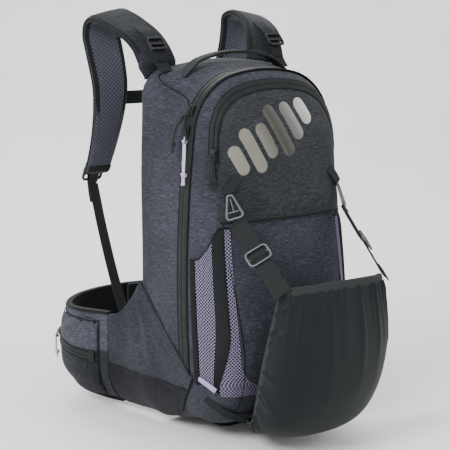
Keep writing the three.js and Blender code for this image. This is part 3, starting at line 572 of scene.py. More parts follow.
def spacer(name, base, flat=False):
    """Spacer mesh: staggered rows of small dark holes in a pale knit."""
    s = Shader(name, 0.9, specular=0.15, sheen=0.2)
    a, b = s.along, s.across
    if flat:
        place = s.node("SeparateXYZ", Vector=s.object)
        a, b = (s.math("MULTIPLY", place.outputs[axis], 1000) for axis in ("Z", "X"))
    lattice = s.math(
        "MULTIPLY",
        s.math("COSINE", s.math("MULTIPLY", a, 2 * math.pi / 6.0)),
        s.math("COSINE", s.math("MULTIPLY", b, 2 * math.pi / 7.0)),
    )
    hole = s.grey(lattice, 0.12, 0.4)
    knit = s.ramp(s.noise(900.0, 2.0), [(0.3, tone(base, 0.75)), (0.7, tone(base, 1.25))])
    colour = s.blend(hole, knit, (0.012, 0.013, 0.018))
    return s.finish(colour, s.math("SUBTRACT", 1.0, hole), 0.8, 1.0)


def open_net(name, thread, behind):
    """Open mesh of crossed threads; the gaps between them show the dark inside of the pocket, deepened to
    near-black with painted shade.
    """
    s = Shader(name, 0.75, specular=0.25)
    height = s.math("MULTIPLY", s.node("SeparateXYZ", Vector=s.object).outputs["Z"], 1000)
    lines = []
    for sign in (1, -1):
        turn = s.math("MULTIPLY", s.math("ADD", height, s.math("MULTIPLY", s.across, sign)), math.pi / 4.9)
        lines.append(s.math("ABSOLUTE", s.math("SINE", turn)))
    nearest = s.math("MINIMUM", lines[0], lines[1])
    on_thread = s.grey(nearest, 0.32, 0.46, 1.0, 0.0)
    yarn = s.ramp(s.noise(600.0, 1.0), [(0.3, tone(thread, 0.8)), (0.7, tone(thread, 1.1))])
    # painted shade: where there is no thread the near-black behind colour shows, for the shaded inside of
    # the pocket
    colour = s.blend(on_thread, behind, yarn)
    return s.finish(colour, on_thread, 0.8, 0.8)


def stretch(name, base):
    """Thin stretch fabric with fine upright ribs."""
    s = Shader(name, 0.6, specular=0.17, sheen=0.02)
    ribs = s.wave(s.across, 2.2)
    yarn = s.noise(800.0, 2.0)
    shade = s.math("ADD", s.math("MULTIPLY", ribs, 0.45), s.math("MULTIPLY", yarn, 0.7))
    colour = s.ramp(shade, [(0.25, tone(base, 0.7)), (0.6, base), (0.9, tone(base, 1.5))])
    return s.finish(colour, shade, 0.3, 0.35)


def braid(name, base):
    s = Shader(name, 0.6, specular=0.3, sheen=0.1)
    strands = []
    for sign in (1, -1):
        turned = s.math("ADD", s.math("MULTIPLY", s.along, 1.4), s.math("MULTIPLY", s.across, sign * 1.6))
        strands.append(s.wave(turned, 1.9))
    weave = s.math("MAXIMUM", strands[0], strands[1])
    colour = s.ramp(weave, [(0.3, tone(base, 0.55)), (0.8, base), (1.0, tone(base, 1.15))])
    return s.finish(colour, weave, 0.6, 0.4)


def plastic(name, base, roughness=0.42):
    s = Shader(name, roughness, specular=0.32)
    grain = s.noise(1400.0, 2.0)
    colour = s.ramp(s.noise(90.0, 3.0), [(0.3, tone(base, 0.85)), (0.7, tone(base, 1.2))])
    worn = s.grey(s.noise(160.0, 3.0), 0.35, 0.7, roughness - 0.06, roughness + 0.12)
    return s.finish(colour, grain, 0.12, 0.2, worn)


def metal(name, base):
    s = Shader(name, 0.34, metallic=0.75, specular=0.5)
    scuffs = s.noise(1.0, 4.0, 0.6, (250, 250, 900))
    colour = s.ramp(scuffs, [(0.3, tone(base, 0.75)), (0.7, tone(base, 1.15))])
    return s.finish(colour, scuffs, 0.08, 0.2, s.grey(scuffs, 0.3, 0.7, 0.28, 0.46))


def foam(name, base):
    s = Shader(name, 0.85, specular=0.2)
    cells = s.node("TexVoronoi", Vector=s.object, Scale=900.0).outputs["Distance"]
    colour = s.ramp(cells, [(0.0, tone(base, 0.6)), (0.5, tone(base, 1.1))])
    return s.finish(colour, cells, 0.4, 0.3)


def floor_material():
    s = Shader("floor", 0.9, specular=0.1)
    colour = s.ramp(s.noise(3.0, 2.0), [(0.3, (0.86, 0.86, 0.86)), (0.7, (0.9, 0.9, 0.9))])
    return s.finish(colour)


HEATHER = heather("heather", (0.0295, 0.0318, 0.0415))
HEATHER_PRINT = heather("heather_print", (0.0225, 0.025, 0.0285), graphic=True)
# painted shade: the fin's colour darkens below 76 mm and the belt's below 94 mm, where their lower parts
# face down
HEATHER_FIN = heather("heather_fin", (0.0235, 0.0256, 0.0328), painted_shade_below=0.076)
HEATHER_STRAP = heather("heather_strap", (0.0185, 0.0205, 0.026))
HEATHER_BELT = heather("heather_belt", (0.0425, 0.0455, 0.058), painted_shade_below=0.094)
HEATHER_BASE = heather("heather_base", (0.013, 0.014, 0.017))
WEB = webbing("black_webbing", (0.0125, 0.0148, 0.0152))
HEM = webbing("hem_binding", (0.0205, 0.024, 0.0245), 1.5)
BINDING = webbing("edge_binding", (0.0065, 0.0075, 0.008), 1.3)
RIBBED = webbing("ribbed_webbing", (0.009, 0.0102, 0.0108), 3.4)
LINING = webbing("belt_lining", (0.0035, 0.0045, 0.0048), 7.0)
PIPING = webbing("piping", (0.006, 0.0065, 0.0072), 1.2)
TAPE = zip_tape("zip_tape", (0.0105, 0.0122, 0.0125))
SPACER = spacer("spacer_mesh", (0.058, 0.062, 0.086))
SPACER_FLAT = spacer("spacer_mesh_flat", (0.05, 0.054, 0.074), flat=True)
# the near-black last colour is painted shade seen through the mesh
NET = open_net("lilac_net", (0.235, 0.205, 0.325), (0.002, 0.002, 0.004))
LILAC = webbing("lilac_binding", (0.38, 0.29, 0.56), 1.3)
STRETCH = stretch("stretch_panel", (0.005, 0.0072, 0.0082))
LILAC_CORD = braid("lilac_cord", (0.58, 0.52, 0.7))
BLACK_CORD = braid("black_cord", (0.005, 0.0055, 0.006))
PLASTIC = plastic("black_plastic", (0.006, 0.007, 0.0078))
METAL = metal("grey_metal", (0.085, 0.097, 0.108))
FOAM = foam("foam_board", (0.01, 0.01, 0.012))
THREAD = braid("dark_thread", (0.022, 0.024, 0.028))

# ---- the bag's shape -------------------------------------------------------------------------


def outline_values(k):
    curve = mix(1 / 3720, 1 / 30000, k)
    return curve, mix(440, 480, k), mix(86, 40, k), mix(18, 3.4, k)


def side_x(z, k=0.0):
    return HALF_WIDTH - outline_values(k)[0] * (z - WIDEST_Z) ** 2


def corner_arc(z, radius, k):
    angle = math.atan(2 * outline_values(k)[0] * (z - WIDEST_Z))
    return side_x(z, k) - radius * math.cos(angle), z - radius * math.sin(angle), angle


def low_corner(k):
    angle = corner_arc(SIDE_LOW_Z, 0, k)[2]
    radius = (SIDE_LOW_Z - outline_values(k)[3]) / (1 + math.sin(angle))
    return (*corner_arc(SIDE_LOW_Z, radius, k)[:2], radius, angle)


def arc(x, z, radius, low, high, n):
    turn = spread(n, low, high)
    return np.stack([x + radius * np.cos(turn), z + radius * np.sin(turn)], -1)


def half_outline(k):
    """The right half of the outline at a depth, from the bottom centre to the top centre."""
    _, high_z, radius, bottom = outline_values(k)
    low_x, low_z, low_radius, low_angle = low_corner(k)
    x, z, angle = corner_arc(high_z, radius, k)
    to_top = x / math.cos(CORNER_END)
    side = spread(26, SIDE_LOW_Z, high_z)[1:-1]
    return np.vstack([
        np.stack([spread(5, 0, low_x)[:-1], np.full(5, float(bottom))], -1),
        arc(low_x, low_z, low_radius, -math.pi / 2, low_angle, 12),
        np.stack([side_x(side, k), side], -1),
        arc(x, z, radius, angle, CORNER_END, 16),
        arc(0, z - to_top * math.sin(CORNER_END), to_top + radius, CORNER_END, math.pi / 2, 6)[1:],
    ])


def depth_blend(y):
    return float(smooth(y, ZIP_Y + ZIP_WIDTH / 2 + 2, BACK_Y - BACK_EDGE))


def full_outline(k):
    half = half_outline(k)
    return np.vstack([half, half[-2:0:-1] * [-1, 1]])


def front_depth(z):
    return mix(92, 60, smooth(z, 120, 400))


def front_y(scale, z):
    inner = mix(CENTRE_Z, z, scale)
    return ZIP_Y - front_depth(inner) * np.sqrt(np.maximum(0, 1 - np.asarray(scale, float) ** 4))


def front_point(x, z, scale):
    return xyz(x * scale, front_y(scale, z), mix(CENTRE_Z, z, scale))


def arch(end_z):
    """The outline above a height, left to right over the top, read by t from 0 to 1."""
    half = half_outline(0)
    right = np.vstack([[side_x(end_z), end_z], half[half[:, 1] > end_z]])[::-1]
    line = np.vstack([right[:0:-1] * [-1, 1], right])
    run = run_along(line)
    run /= run[-1]
    return lambda t: (np.interp(t, run, line[:, 0]), np.interp(t, run, line[:, 1]))


OUTLINE = full_outline(0) - [0, CENTRE_Z]
OUTLINE_TURN = np.arctan2(OUTLINE[:, 1], OUTLINE[:, 0])
OUTLINE_ORDER = np.argsort(OUTLINE_TURN)


def scale_at(x, z):
    turn = np.arctan2(z - CENTRE_Z, x)
    angles = OUTLINE_TURN[OUTLINE_ORDER]
    reach = np.interp(turn, angles, np.linalg.norm(OUTLINE, axis=1)[OUTLINE_ORDER], period=2 * math.pi)
    return np.hypot(x, z - CENTRE_Z) / reach


def front_at(x, z):
    scale = scale_at(x, z)
    return xyz(x, ZIP_Y - front_depth(z) * np.sqrt(np.maximum(0, 1 - scale**4)), z)


def tuck(z, k=0.0):
    """How far the bag's side is tucked in from its widest height."""
    low_x, low_z, radius, _ = low_corner(k)
    below = low_x + np.sqrt(np.maximum(0, radius**2 - (low_z - z) ** 2)) - HALF_WIDTH
    return np.where(z > SIDE_LOW_Z, side_x(z, k) - HALF_WIDTH, below)


def rear_rumple(points):
    """Soft creases of the rear shell; none near the zip."""
    calm = smooth(points[..., 1], -34, -8)
    broad = noise(points, (60, 40, 120)) * 1.5
    small = noise(points + 40, (30, 14, 40)) * 0.6
    slanted = points[..., 1] * 0.6 + points[..., 2]
    drag = noise(np.stack([points[..., 0], points[..., 1] * 0.4, slanted], -1) + 70, (60, 30, 17)) * 0.55
    low = smooth(points[..., 2], 220, 60) * noise(points + 90, (40, 16, 24)) * 1.2
    return calm * (broad + small + low + drag * smooth(points[..., 2], 260, 420))


def front_rumple(points):
    broad = noise(points + 15, (46, 60, 40)) * 0.55
    small = noise(points + 70, (18, 22, 14)) * 0.35
    return broad + small


def closed_loft(rings):
    """Equal rings of points joined into one closed body."""
    rings = np.asarray(rings, float)
    rows, columns = rings.shape[:2]
    faces = grid_faces(rows, columns, wrap=True).reshape(-1, 4).tolist()
    vertices = np.vstack([rings.reshape(-1, 3), rings[0].mean(0), rings[-1].mean(0)])
    last = (rows - 1) * columns
    for j in range(columns):
        k = (j + 1) % columns
        faces.append([rows * columns, k, j])
        faces.append([rows * columns + 1, last + j, last + k])
    uv = vertices[:, [1, 2]].copy()
    return vertices, faces, uv


def add_shells():
    rings = []
    for y in [*spread(30, ZIP_Y + GAP, BACK_Y - BACK_EDGE), BACK_Y - 3.2, BACK_Y - 1, BACK_Y]:
        k = depth_blend(y)
        outline = full_outline(k)
        over = max(0.0, y - (BACK_Y - BACK_EDGE)) / BACK_EDGE
        inset = 1 - BACK_EDGE * (1 - math.sqrt(1 - over**2)) / HALF_WIDTH
        ring = xyz(outline[:, 0] * inset, y, mix(CENTRE_Z, outline[:, 1], inset))
        out = unit(np.stack([
            np.roll(ring[:, 2], -1) - np.roll(ring[:, 2], 1), np.zeros(len(ring)),
            np.roll(ring[:, 0], 1) - np.roll(ring[:, 0], -1)], -1))
        rings.append(ring + out * rear_rumple(ring)[:, None])
    rear = piece("rear_body", closed_loft(rings), HEATHER, "bag", ["rear_shell"], 60)

    outline = full_outline(0)
    rings = []
    for scale in [1, 0.997, 0.99, *np.linspace(0.975, 0.1, 34)]:
        ring = front_point(outline[:, 0], outline[:, 1], scale)
        out = unit(ring - BAG_MIDDLE)
        rings.append(ring + out * (front_rumple(ring) * smooth(1 - scale, 0, 0.03))[:, None])
    front = piece("front_body", closed_loft(rings), HEATHER, "bag", ["front_shell"], 60)


def add_base():
    rings = []
    for t in [0, 0.01, 0.04, 0.1, 0.2, *np.linspace(0.3, 0.7, 5), 0.8, 0.9, 0.96, 0.99, 1]:
        y = mix(-26, 53, t)
        top = outline_values(depth_blend(y))[3] - GAP
        half = 50 * (0.75 + 0.25 * math.sqrt(1 - abs(2 * t - 1) ** 6))
        x = np.array([-1, -0.985, -0.5, 0, 0.5, 0.985, 1]) * half
        foot = np.array([0.8, 0, 0, 0, 0, 0, 0.8])
        rings.append(np.vstack([xyz(x, y, foot), xyz(x[::-1], y, top)]))
    piece("base_patch", closed_loft(rings), HEATHER_BASE, "bag", ["base_panel"])


def zip_profile(v, lift):
    """Height of a zip's laminated tape over its width, with a groove where its edges meet."""
    from_middle = np.abs(2 * v - 1)
    return lift + 1.5 - 0.8 * bump_at(from_middle, 0, 0.07) - 0.9 * smooth(from_middle, 0.8, 1)


ZIP_ACROSS = np.array([0, 0.03, 0.1, 0.2, 0.38, 0.46, 0.485, 0.5, 0.515, 0.54, 0.62, 0.8, 0.9, 0.97, 1])


def add_zips():
    over = arch(104)

    def band(u, v):
        x, z = over(u)
        return xyz(x, ZIP_Y + (v - 0.5) * (ZIP_WIDTH + 5), z)

    part = slab(band, spread(240), ZIP_ACROSS, 0.3, lambda u, v: zip_profile(v, 0.4))
    piece("main_zip_strip", part, TAPE, "bag", ["main_zip_tape"])

    seams = []
    for offset in (-11.2, 11.2):
        x, z = over(spread(200))
        line = xyz(x, ZIP_Y + offset, z)
        out = unit(xyz(x, 0, z - CENTRE_Z) * [1, 0, 1])
        seams.append(tube(line + out * 0.9, 1.0, 8))
    piece("main_zip_piping", merged(seams), PIPING, "bag")

    strip = front_zip_strip()
    part = slab(strip, spread(220), ZIP_ACROSS, 0.3, lambda u, v: zip_profile(v, 0.5))
    piece("front_zip_strip", part, TAPE, "bag", ["front_zip_tape"])
    seams = []
    for v in (0.0, 1.0):
        u = spread(180)
        line = strip(u, np.full_like(u, v))
        normal = turned_out(normals_of(strip, u, np.full_like(u, 0.5)), line)
        seams.append(tube(line + normal, 0.9, 8))
    piece("front_zip_piping", merged(seams), PIPING, "bag")


def front_zip_scale(z, across):
    rise = smooth(z, 425, 505)
    return mix(mix(0.845, 0.905, rise), mix(0.915, 0.952, rise), across)


def front_zip_strip():
    over = arch(425)

    def strip(u, v):
        x, z = over(u)
        return front_point(x, z, front_zip_scale(z, v))

    return strip


def pocket_surface():
    over = arch(365)

    def edge(u):
        x, z = over(u)
        scale = front_zip_scale(z, 0) - 0.015
        return x * scale, mix(CENTRE_Z, z, scale)

    left, right = edge(0.0)[0], edge(1.0)[0]

    def surface(u, v):
        top_x, top_z = edge(u)
        return front_at(mix(mix(left, right, u), top_x, v), mix(POCKET_SEAM_Z, top_z, v))

    return surface


def add_front_pocket():
    surface = pocket_surface()

    def crown(u, v):
        return np.sqrt(np.maximum(0, np.sin(math.pi * v) * np.sin(math.pi * u)))

    steps = np.concatenate([[0, 0.01, 0.03], spread(60, 0.06, 0.94), [0.97, 0.99, 1]])
    rows = np.concatenate([[0, 0.02, 0.05], spread(34, 0.09, 0.93), [0.97, 0.99, 1]])
    high = lambda u, v: ON_BAG + mix(1.0, POCKET_THICKNESS, crown(u, v)) - 0.3
    rumple = lambda p: noise(p + 33, (30, 60, 22)) * 0.5 + noise(p, (12, 30, 9)) * 0.2
    part = slab(surface, steps, rows, 0.4, high, rumple=rumple)
    panel = piece("front_pocket_panel", part, HEATHER_PRINT, "bag", ["front_pocket"], 60)

    # the seam under the pocket, and the seams that run down the front from its corners
    u = spread(60)
    seam = surface(u, np.zeros_like(u)) + [0, -2.2, -0.6]
    parts = [tube(seam, 1.1, 8)]
    for side in (-1, 1):
        z = spread(70, 322, 44)
        x = side * mix(100, 82, smooth(z, 320, 60))
        parts.append(tube(front_at(x, z) + [0, -0.7, 0], 0.75, 6))
        z = spread(30, POCKET_SEAM_Z, 415)
        x = side * mix(100, 104.5, smooth(z, 318, 400))
        parts.append(tube(front_at(x, z) + [side * 0.3, -0.9, 0], 0.75, 6))
    piece("front_seams", merged(parts), PIPING, "bag")


def side_point(side, z, scale):
    outline_z = CENTRE_Z + (z - CENTRE_Z) / scale
    return front_point(side * (HALF_WIDTH + tuck(outline_z)), outline_z, scale)


def add_side_pocket(side, name):
    """Open mesh behind the zip, an elastic opening beside it and more mesh that turns under."""
    low_z = lambda scale: mix(76, 98, np.maximum(0, (scale - 0.875) / 0.11))
    high_z = lambda scale: mix(308, 262, smooth(scale, 0.8, 0.985))
    band_out = lambda u: mix(0.91, 0.876, smooth(u, 0, 0.55))
    band_in = lambda u: mix(0.892, 0.785, smooth(u, 0, 0.4))

    def region(low_scale, high_scale, drop=0.0, rise=0.0):
        def surface(u, v):
            scale = mix(low_scale(u), high_scale(u), v)
            return side_point(side, mix(low_z(scale) - drop, high_z(scale) + rise, u), scale)

        return surface

    always = lambda value: (lambda u: value + 0 * u)
    net = region(band_out, always(0.968))
    sag = lambda p: noise(p, (30, 30, 60)) * 0.5
    part = slab(net, spread(70), spread(14), 0.5, 2.4, rumple=sag)
    panel = piece(f"side_net_{name}", part, NET, "bag", [f"side_pocket_{name}"], 60)

    under = region(lambda u: mix(0.70, 0.72, u), lambda u: band_in(u) + 0.012, drop=2)
    part = slab(under, spread(70), spread(12), 0.3, 1.3, rumple=sag)
    inner = piece(f"side_net_inner_{name}", part, NET, "bag", sharp=60)

    band = region(band_in, lambda u: band_out(u) + 0.002)
    flute = lambda u, v: 2.3 + 0.5 * np.cos(v * 7 * 2 * math.pi) - 1.2 * smooth(np.abs(2 * v - 1), 0.86, 1)
    part = slab(band, spread(60), spread(42), 0.4, flute)
    piece(f"side_band_{name}", part, WEB, "bag", [f"side_pocket_band_{name}"], 60)

    # bindings: lilac under the mesh, black along the opening and along the zip
    scale = spread(24, 0.972, 0.905)
    low = side_point(side, low_z(scale) + 1.0, scale)
    ahead = np.gradient(low, axis=0)
    out = unit(low - [0, 0, 200])
    up = unit(np.cross(out, unit(ahead)))
    up *= np.sign(up[:, 2:])
    part = sweep(low + out * 2.6 + up * 2.5, up, unit(np.cross(ahead, up)), strip_section(9, 2.6, 0.6))
    piece(f"side_trim_{name}", part, LILAC, "bag")

    u = spread(70)
    edges = []
    for scales, radius in ((band_in(u) - 0.003, 1.1), (band_out(u), 0.9)):
        z = mix(low_z(scales), high_z(scales), u)
        line = side_point(side, z, scales)
        edges.append(tube(line + unit(line - BAG_MIDDLE) * 1.6, radius, 7))
    zip_side = np.full_like(u, 0.979)
    line = side_point(side, mix(low_z(zip_side) - 8, high_z(zip_side) + 1, u), zip_side)
    ahead = unit(np.gradient(line, axis=0))
    inwards = unit(side_point(side, line[:, 2], 0.95) - side_point(side, line[:, 2], 0.99))
    facing = turned_out(unit(np.cross(ahead, inwards)), line)
    binding = strip_section(9, 2.0, 0.4)
    edges.append(sweep(line + facing * 1.6, unit(np.cross(ahead, facing)), facing, binding))
    top = spread(30, 0.70, 0.988)
    line = side_point(side, high_z(top) + 1.5, top)
    edges.append(tube(line + unit(line - BAG_MIDDLE) * 1.3, 1.3, 8))
    piece(f"side_edges_{name}", merged(edges), PIPING, "bag")


# ---- the back --------------------------------------------------------------------------------


def rounded_rectangle(width, height, radius, steps=8):
    x, z = width / 2 - radius, height / 2 - radius
    corners = [(x, -z, -90), (x, z, 0), (-x, z, 90), (-x, -z, 180)]
    points = []
    for cx, cz, start in corners:
        points.append(arc(cx, cz, radius, math.radians(start), math.radians(start + 90), steps))
    return np.vstack(points)


def board(width, height, radius, y, thickness, centre_z, edge=1.5):
    """A flat panel facing the wearer, with softened edges."""
    rings = []
    for inset, offset in ((edge, -thickness / 2), (0, -thickness / 2 + edge), (0, thickness / 2 - edge),
                          (edge, thickness / 2)):
        outline = rounded_rectangle(width - 2 * inset, height - 2 * inset, radius - inset)
        rings.append(xyz(outline[:, 0], y + offset, centre_z + outline[:, 1]))
    return closed_loft(rings)


def add_back():
    board_y = BACK_Y + GAP + 3
    part = board(218, 430, 34, board_y, 6, 285)
    piece("protector_board", part, FOAM, "bag", ["back_protector"])
    panel_y = board_y + 3 + GAP + 1
    part = board(194, 418, 28, panel_y, 2, 285, 0.5)
    piece("back_cover", part, SPACER_FLAT, "bag", ["back_panel"])
    outline = rounded_rectangle(206, 424, 31, 10)
    line = resample(xyz(outline[:, 0], board_y + 3.4, 285 + outline[:, 1]), 4)
    piece("back_binding", tube(line, 1.9, 8, closed=True), PIPING, "bag")

    pad_y = panel_y + 1 + GAP
    pads = [
        ("back_cushion_left", "back_pad_left", -52, 345, 36, 125, 9),
        ("back_cushion_right", "back_pad_right", 52, 345, 36, 125, 9),
        ("lumbar_cushion", "lumbar_pad", 0, 142, 84, 58, 14),
    ]
    for name, node, x, z, half_width, half_height, thickness in pads:
        crown = lambda q: np.sqrt(np.maximum(0, 1 - np.abs(2 * q - 1) ** 4))
        surface = lambda u, v: xyz(
            x + (v - 0.5) * 2 * half_width * (0.8 + 0.2 * crown(u)), pad_y, z + (u - 0.5) * 2 * half_height)
        steps = np.concatenate([[0, 0.02, 0.06], spread(14, 0.12, 0.88), [0.94, 0.98, 1]])
        high = lambda u, v: 1.2 + (thickness - 2.2) * crown(u) * crown(v)
        part = slab(surface, steps, steps, 0.2, high)
        cushion = piece(name, part, SPACER_FLAT, None)
        inflate(cushion, 3.0, pressure=3.0)
        channels(cushion, z, half_height, pad_y)
        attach(cushion, "bag")
        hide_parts(node)


def channels(cushion, z, half_height, pad_y):
    """Presses two sewn grooves across a cushion and keeps its flat side on the panel."""
    co = np.array([v.co for v in cushion.data.vertices]) / MM
    depth = co[:, 1] - pad_y
    for part in (-0.36, 0.36):
        groove = bump_at(co[:, 2], z + part * half_height, 3.0)
        depth *= 1 - 0.55 * groove * smooth(depth, 0.5, 4)
    co[:, 1] = pad_y + np.maximum(depth, 0.1)
    cushion.data.vertices.foreach_set("co", (co * MM).ravel())


# ---- shoulder straps -------------------------------------------------------------------------

STRAP_ROUTE = [
    [98, 66, 527], [99, 79, 545], [102, 99, 562], [106, 130, 576], [108, 160, 586], [108, 183, 590],
    [108, 198, 583], [109, 201, 566], [109, 192, 540], [109, 182, 511], [109, 176, 484], [110, 177, 455],
    [110, 185, 425], [109, 198, 395], [108, 213, 367], [108, 220, 353],
]
STRAP_LEAN = {"left": [0, 0, 0], "right": [22, -18, -5]}
LIFTER_ROUTE = [[104, 45, 526], [105, 51, 541], [106, 62, 555], [107, 80, 568], [108, 101, 577]]
LOWER_ROUTE = [[110, 228, 335], [114, 193, 262], [117, 146, 176], [115, 108, 115], [112, 78, 74]]


def mirrored(points, side):
    return [[side * x, y, z] for x, y, z in points]


def strap_line(side, name, u):
    """Centre, side direction, outward direction and width of a shoulder strap."""
    share = np.arange(len(STRAP_ROUTE)) / (len(STRAP_ROUTE) - 1)
    amount = smooth(share, 0, 0.3) * (1 - smooth(share, 0.45, 0.68))
    points = np.array(STRAP_ROUTE, float) + amount[:, None] * np.array(STRAP_LEAN[name], float)
    centre = Route(points * [side, 1, 1])
    at = centre(u)
    ahead = unit(centre(np.minimum(u + 1e-3, 1)) - centre(np.maximum(u - 1e-3, 0)))
    roll = math.radians(11) * smooth(u, 0.05, 0.25) * (1 - smooth(u, 0.5, 0.62))
    across = xyz(side * np.cos(roll), 0 * u, -np.sin(roll))
    outward = unit(np.cross(ahead, across)) * side
    if np.dot(outward[len(u) // 2], at[len(u) // 2] - BAG_MIDDLE) < 0:
        outward = -outward
    return at, across, outward, mix(62, 40, smooth(u, 0.55, 1))


def strap_half_height(a):
    """Half the strap's thickness, thinner towards the edges at a = -1 and 1."""
    return STRAP_THICKNESS / 2 * (1 - 0.55 * np.abs(a) ** 5)


def add_shoulder_strap(side, name):
    u = spread(110)
    at, across, outward, width = strap_line(side, name, u)
    a = np.array([-1, -0.97, -0.9, -0.75, -0.5, -0.25, 0, 0.25, 0.5, 0.75, 0.9, 0.97, 1])
    for sign, label, material in ((1, "outer", HEATHER_STRAP), (-1, "lining", SPACER)):
        rumple = noise(at + 20 * sign, (30, 18, 18)) * 0.4
        top = np.stack([
            np.broadcast_to(a, (len(u), len(a))) * width[:, None] / 2,
            sign * (strap_half_height(a)[None] + rumple[:, None] * (1 - np.abs(a)) - 0.2),
        ], -1)
        bottom = np.stack([top[:, ::-1, 0], np.zeros((len(u), len(a)))], -1)
        section = np.concatenate([top, bottom[:, 1:-1]], 1)
        part = sweep(at, across, outward, section)
        nodes = [f"strap_pad_{name}"] if sign == 1 else []
        strap = piece(f"strap_{label}_{name}", part, material, "bag", nodes, 60)

    wrap = []
    for edge in (-1, 1):
        height = strap_half_height(1.0)
        profile = np.array([
            [-7.5, height + 2.6], [-4, height + 1.6], [-1.2, height + 0.6], [0.7, height * 0.5], [0.9, 0],
            [0.7, -height * 0.5], [-1.2, -height - 0.6], [-4, -height - 1.6], [-7.5, -height - 2.6],
            [-7.5, -height - 1.2], [-3, -1], [-3, 1], [-7.5, height + 1.2]])
        out_from_middle = edge * (width[:, None] / 2 + profile[:, 0])
        section = np.stack([out_from_middle, np.broadcast_to(profile[:, 1], (len(u), len(profile)))], -1)
        wrap.append(sweep(at, across, outward, section))
    piece(f"strap_binding_{name}", merged(wrap), BINDING, "bag")

    rows = []
    for edge in (-1, 1):
        line = at + across * (edge * (width / 2 - 6.2))[:, None]
        rows.append(stitches(line + outward * 5.6, outward, 3.0, 4.4, 0.25, 0.3))
    piece(f"strap_stitching_{name}", merged(rows), THREAD, "bag")

    # the strap's root, sewn down flat on the bag's back
    v = spread(12)
    centre = strap_line(side, name, v * 0.035)[0]
    sewn = mirrored([[98, 64.6, 503], [98, 65, 512], [98, 66, 521]], side)
    root = Route([*sewn, centre[0], centre[-1]])(v)
    widths, thicknesses = mix(44, 60.5, smooth(v, 0, 0.5)), mix(3.6, 11.4, smooth(v, 0, 0.7))
    section = np.stack([strip_section(1, 1) * [w, t] for w, t in zip(widths, thicknesses)])
    ahead = unit(np.gradient(root, axis=0))
    flat = np.array([side * 1.0, 0, 0])
    part = sweep(root, flat, unit(np.cross(ahead, flat)) * side, section)
    root = piece(f"strap_root_{name}", part, HEATHER_STRAP, "bag", sharp=60)

    # the rail of the sternum strap, sewn on at both ends
    v = spread(30, 0.595, 0.765)
    at, across, outward, _ = strap_line(side, name, v)
    lift = np.interp(v, [0.595, 0.615, 0.745, 0.765], [6.7, 7.4, 7.4, 6.7])
    part = sweep(at + outward * lift[:, None], across, outward, strip_section(12, 1.4, 0.3))
    piece(f"sternum_rail_cord_{name}", part, RIBBED, "bag", [f"sternum_rail_{name}"])

    # the folded end that holds the buckle
    v = spread(10, 0.94, 1.0)
    at, across, outward, width = strap_line(side, name, v)
    grow = STRAP_THICKNESS + 1.4 - 5 * smooth(v, 0.97, 1.0)
    section = np.stack([strip_section(1, 1) * [w * 0.98, g] for w, g in zip(width, grow)])
    piece(f"strap_end_{name}", sweep(at, across, outward, section), WEB, "bag", bevel=0.5)


def ribbon(points, side, width, thickness=WEBBING, step=3.0, bow=0.0):
    line = resample(np.asarray(points, float), step)
    side, normal = frames_along(line, side)
    return sweep(line, side, normal, strip_section(width, thickness, bow))


def add_strap_webbing(side, name):
    lifter = Route(mirrored(LIFTER_ROUTE, side))(spread(40))
    part = ribbon(lifter, [side, 0, 0], 20)
    start = np.array([[side * 103, 33, 515], [side * 103.4, 38, 519], [side * 104, 45, 526.5]])
    anchor = ribbon(start, [side, 0, 0], 21, 2.4)
    fold = ribbon(lifter[2:15] + [0, -1.6, 0.6], [side, 0, 0], 18.5, 1.4)
    piece(f"lifter_strap_{name}", merged([part, anchor, fold]), RIBBED, "bag",
          [f"lifter_webbing_{name}"])

    lower = Route(mirrored(LOWER_ROUTE, side))(spread(60))
    across = unit(np.array([-side * 0.88, 0.47, 0]))
    top = np.array([[side * 108, 222.5, 352], [side * 108.6, 226, 345], lower[0]])
    part = ribbon(lower, across, 25)
    hold = ribbon(top, across, 24.5)
    tail = ribbon(np.array([[side * 108.5, 234.5, 352], [side * 108.8, 234.6, 338], [side * 110, 229.8, 324],
                            [side * 111.4, 221.5, 305]]), across, 24.4, 1.6)
    piece(f"lower_strap_{name}", merged([part, hold, tail]), WEB, "bag", [f"lower_webbing_{name}"])

    # the seam of the bag's yoke, under the load lifter
    z = spread(40, 470, 512)
    line = []
    for depth, height in zip(mix(-30, 40, smooth(z, 470, 512)), z):
        half = half_outline(depth_blend(depth))
        upper = half[half[:, 1] > WIDEST_Z]
        line.append([side * np.interp(height, upper[:, 1], upper[:, 0]), depth, height])
    line = np.array(line)
    seam = tube(line + unit(line - BAG_MIDDLE) * 0.6, 0.9, 7)
    piece(f"yoke_seam_{name}", seam, PIPING, "bag")


def wire(points, radius, sides=10):
    """A closed loop of round wire through corner points, with rounded corners."""
    points = np.asarray(points, float)
    line = []
    for i, corner in enumerate(points):
        before, after = points[i - 1] - corner, points[(i + 1) % len(points)] - corner
        reach = min(np.linalg.norm(before), np.linalg.norm(after)) * 0.3
        a, b = corner + unit(before) * reach, corner + unit(after) * reach
        t = spread(6)[:, None]
        line.append((1 - t) ** 2 * a + 2 * t * (1 - t) * corner + t**2 * b)
    return tube(np.vstack(line), radius, sides, closed=True)


def bar(a, b, radius, sides=10):
    return tube(np.linspace(a, b, 3), radius, sides)


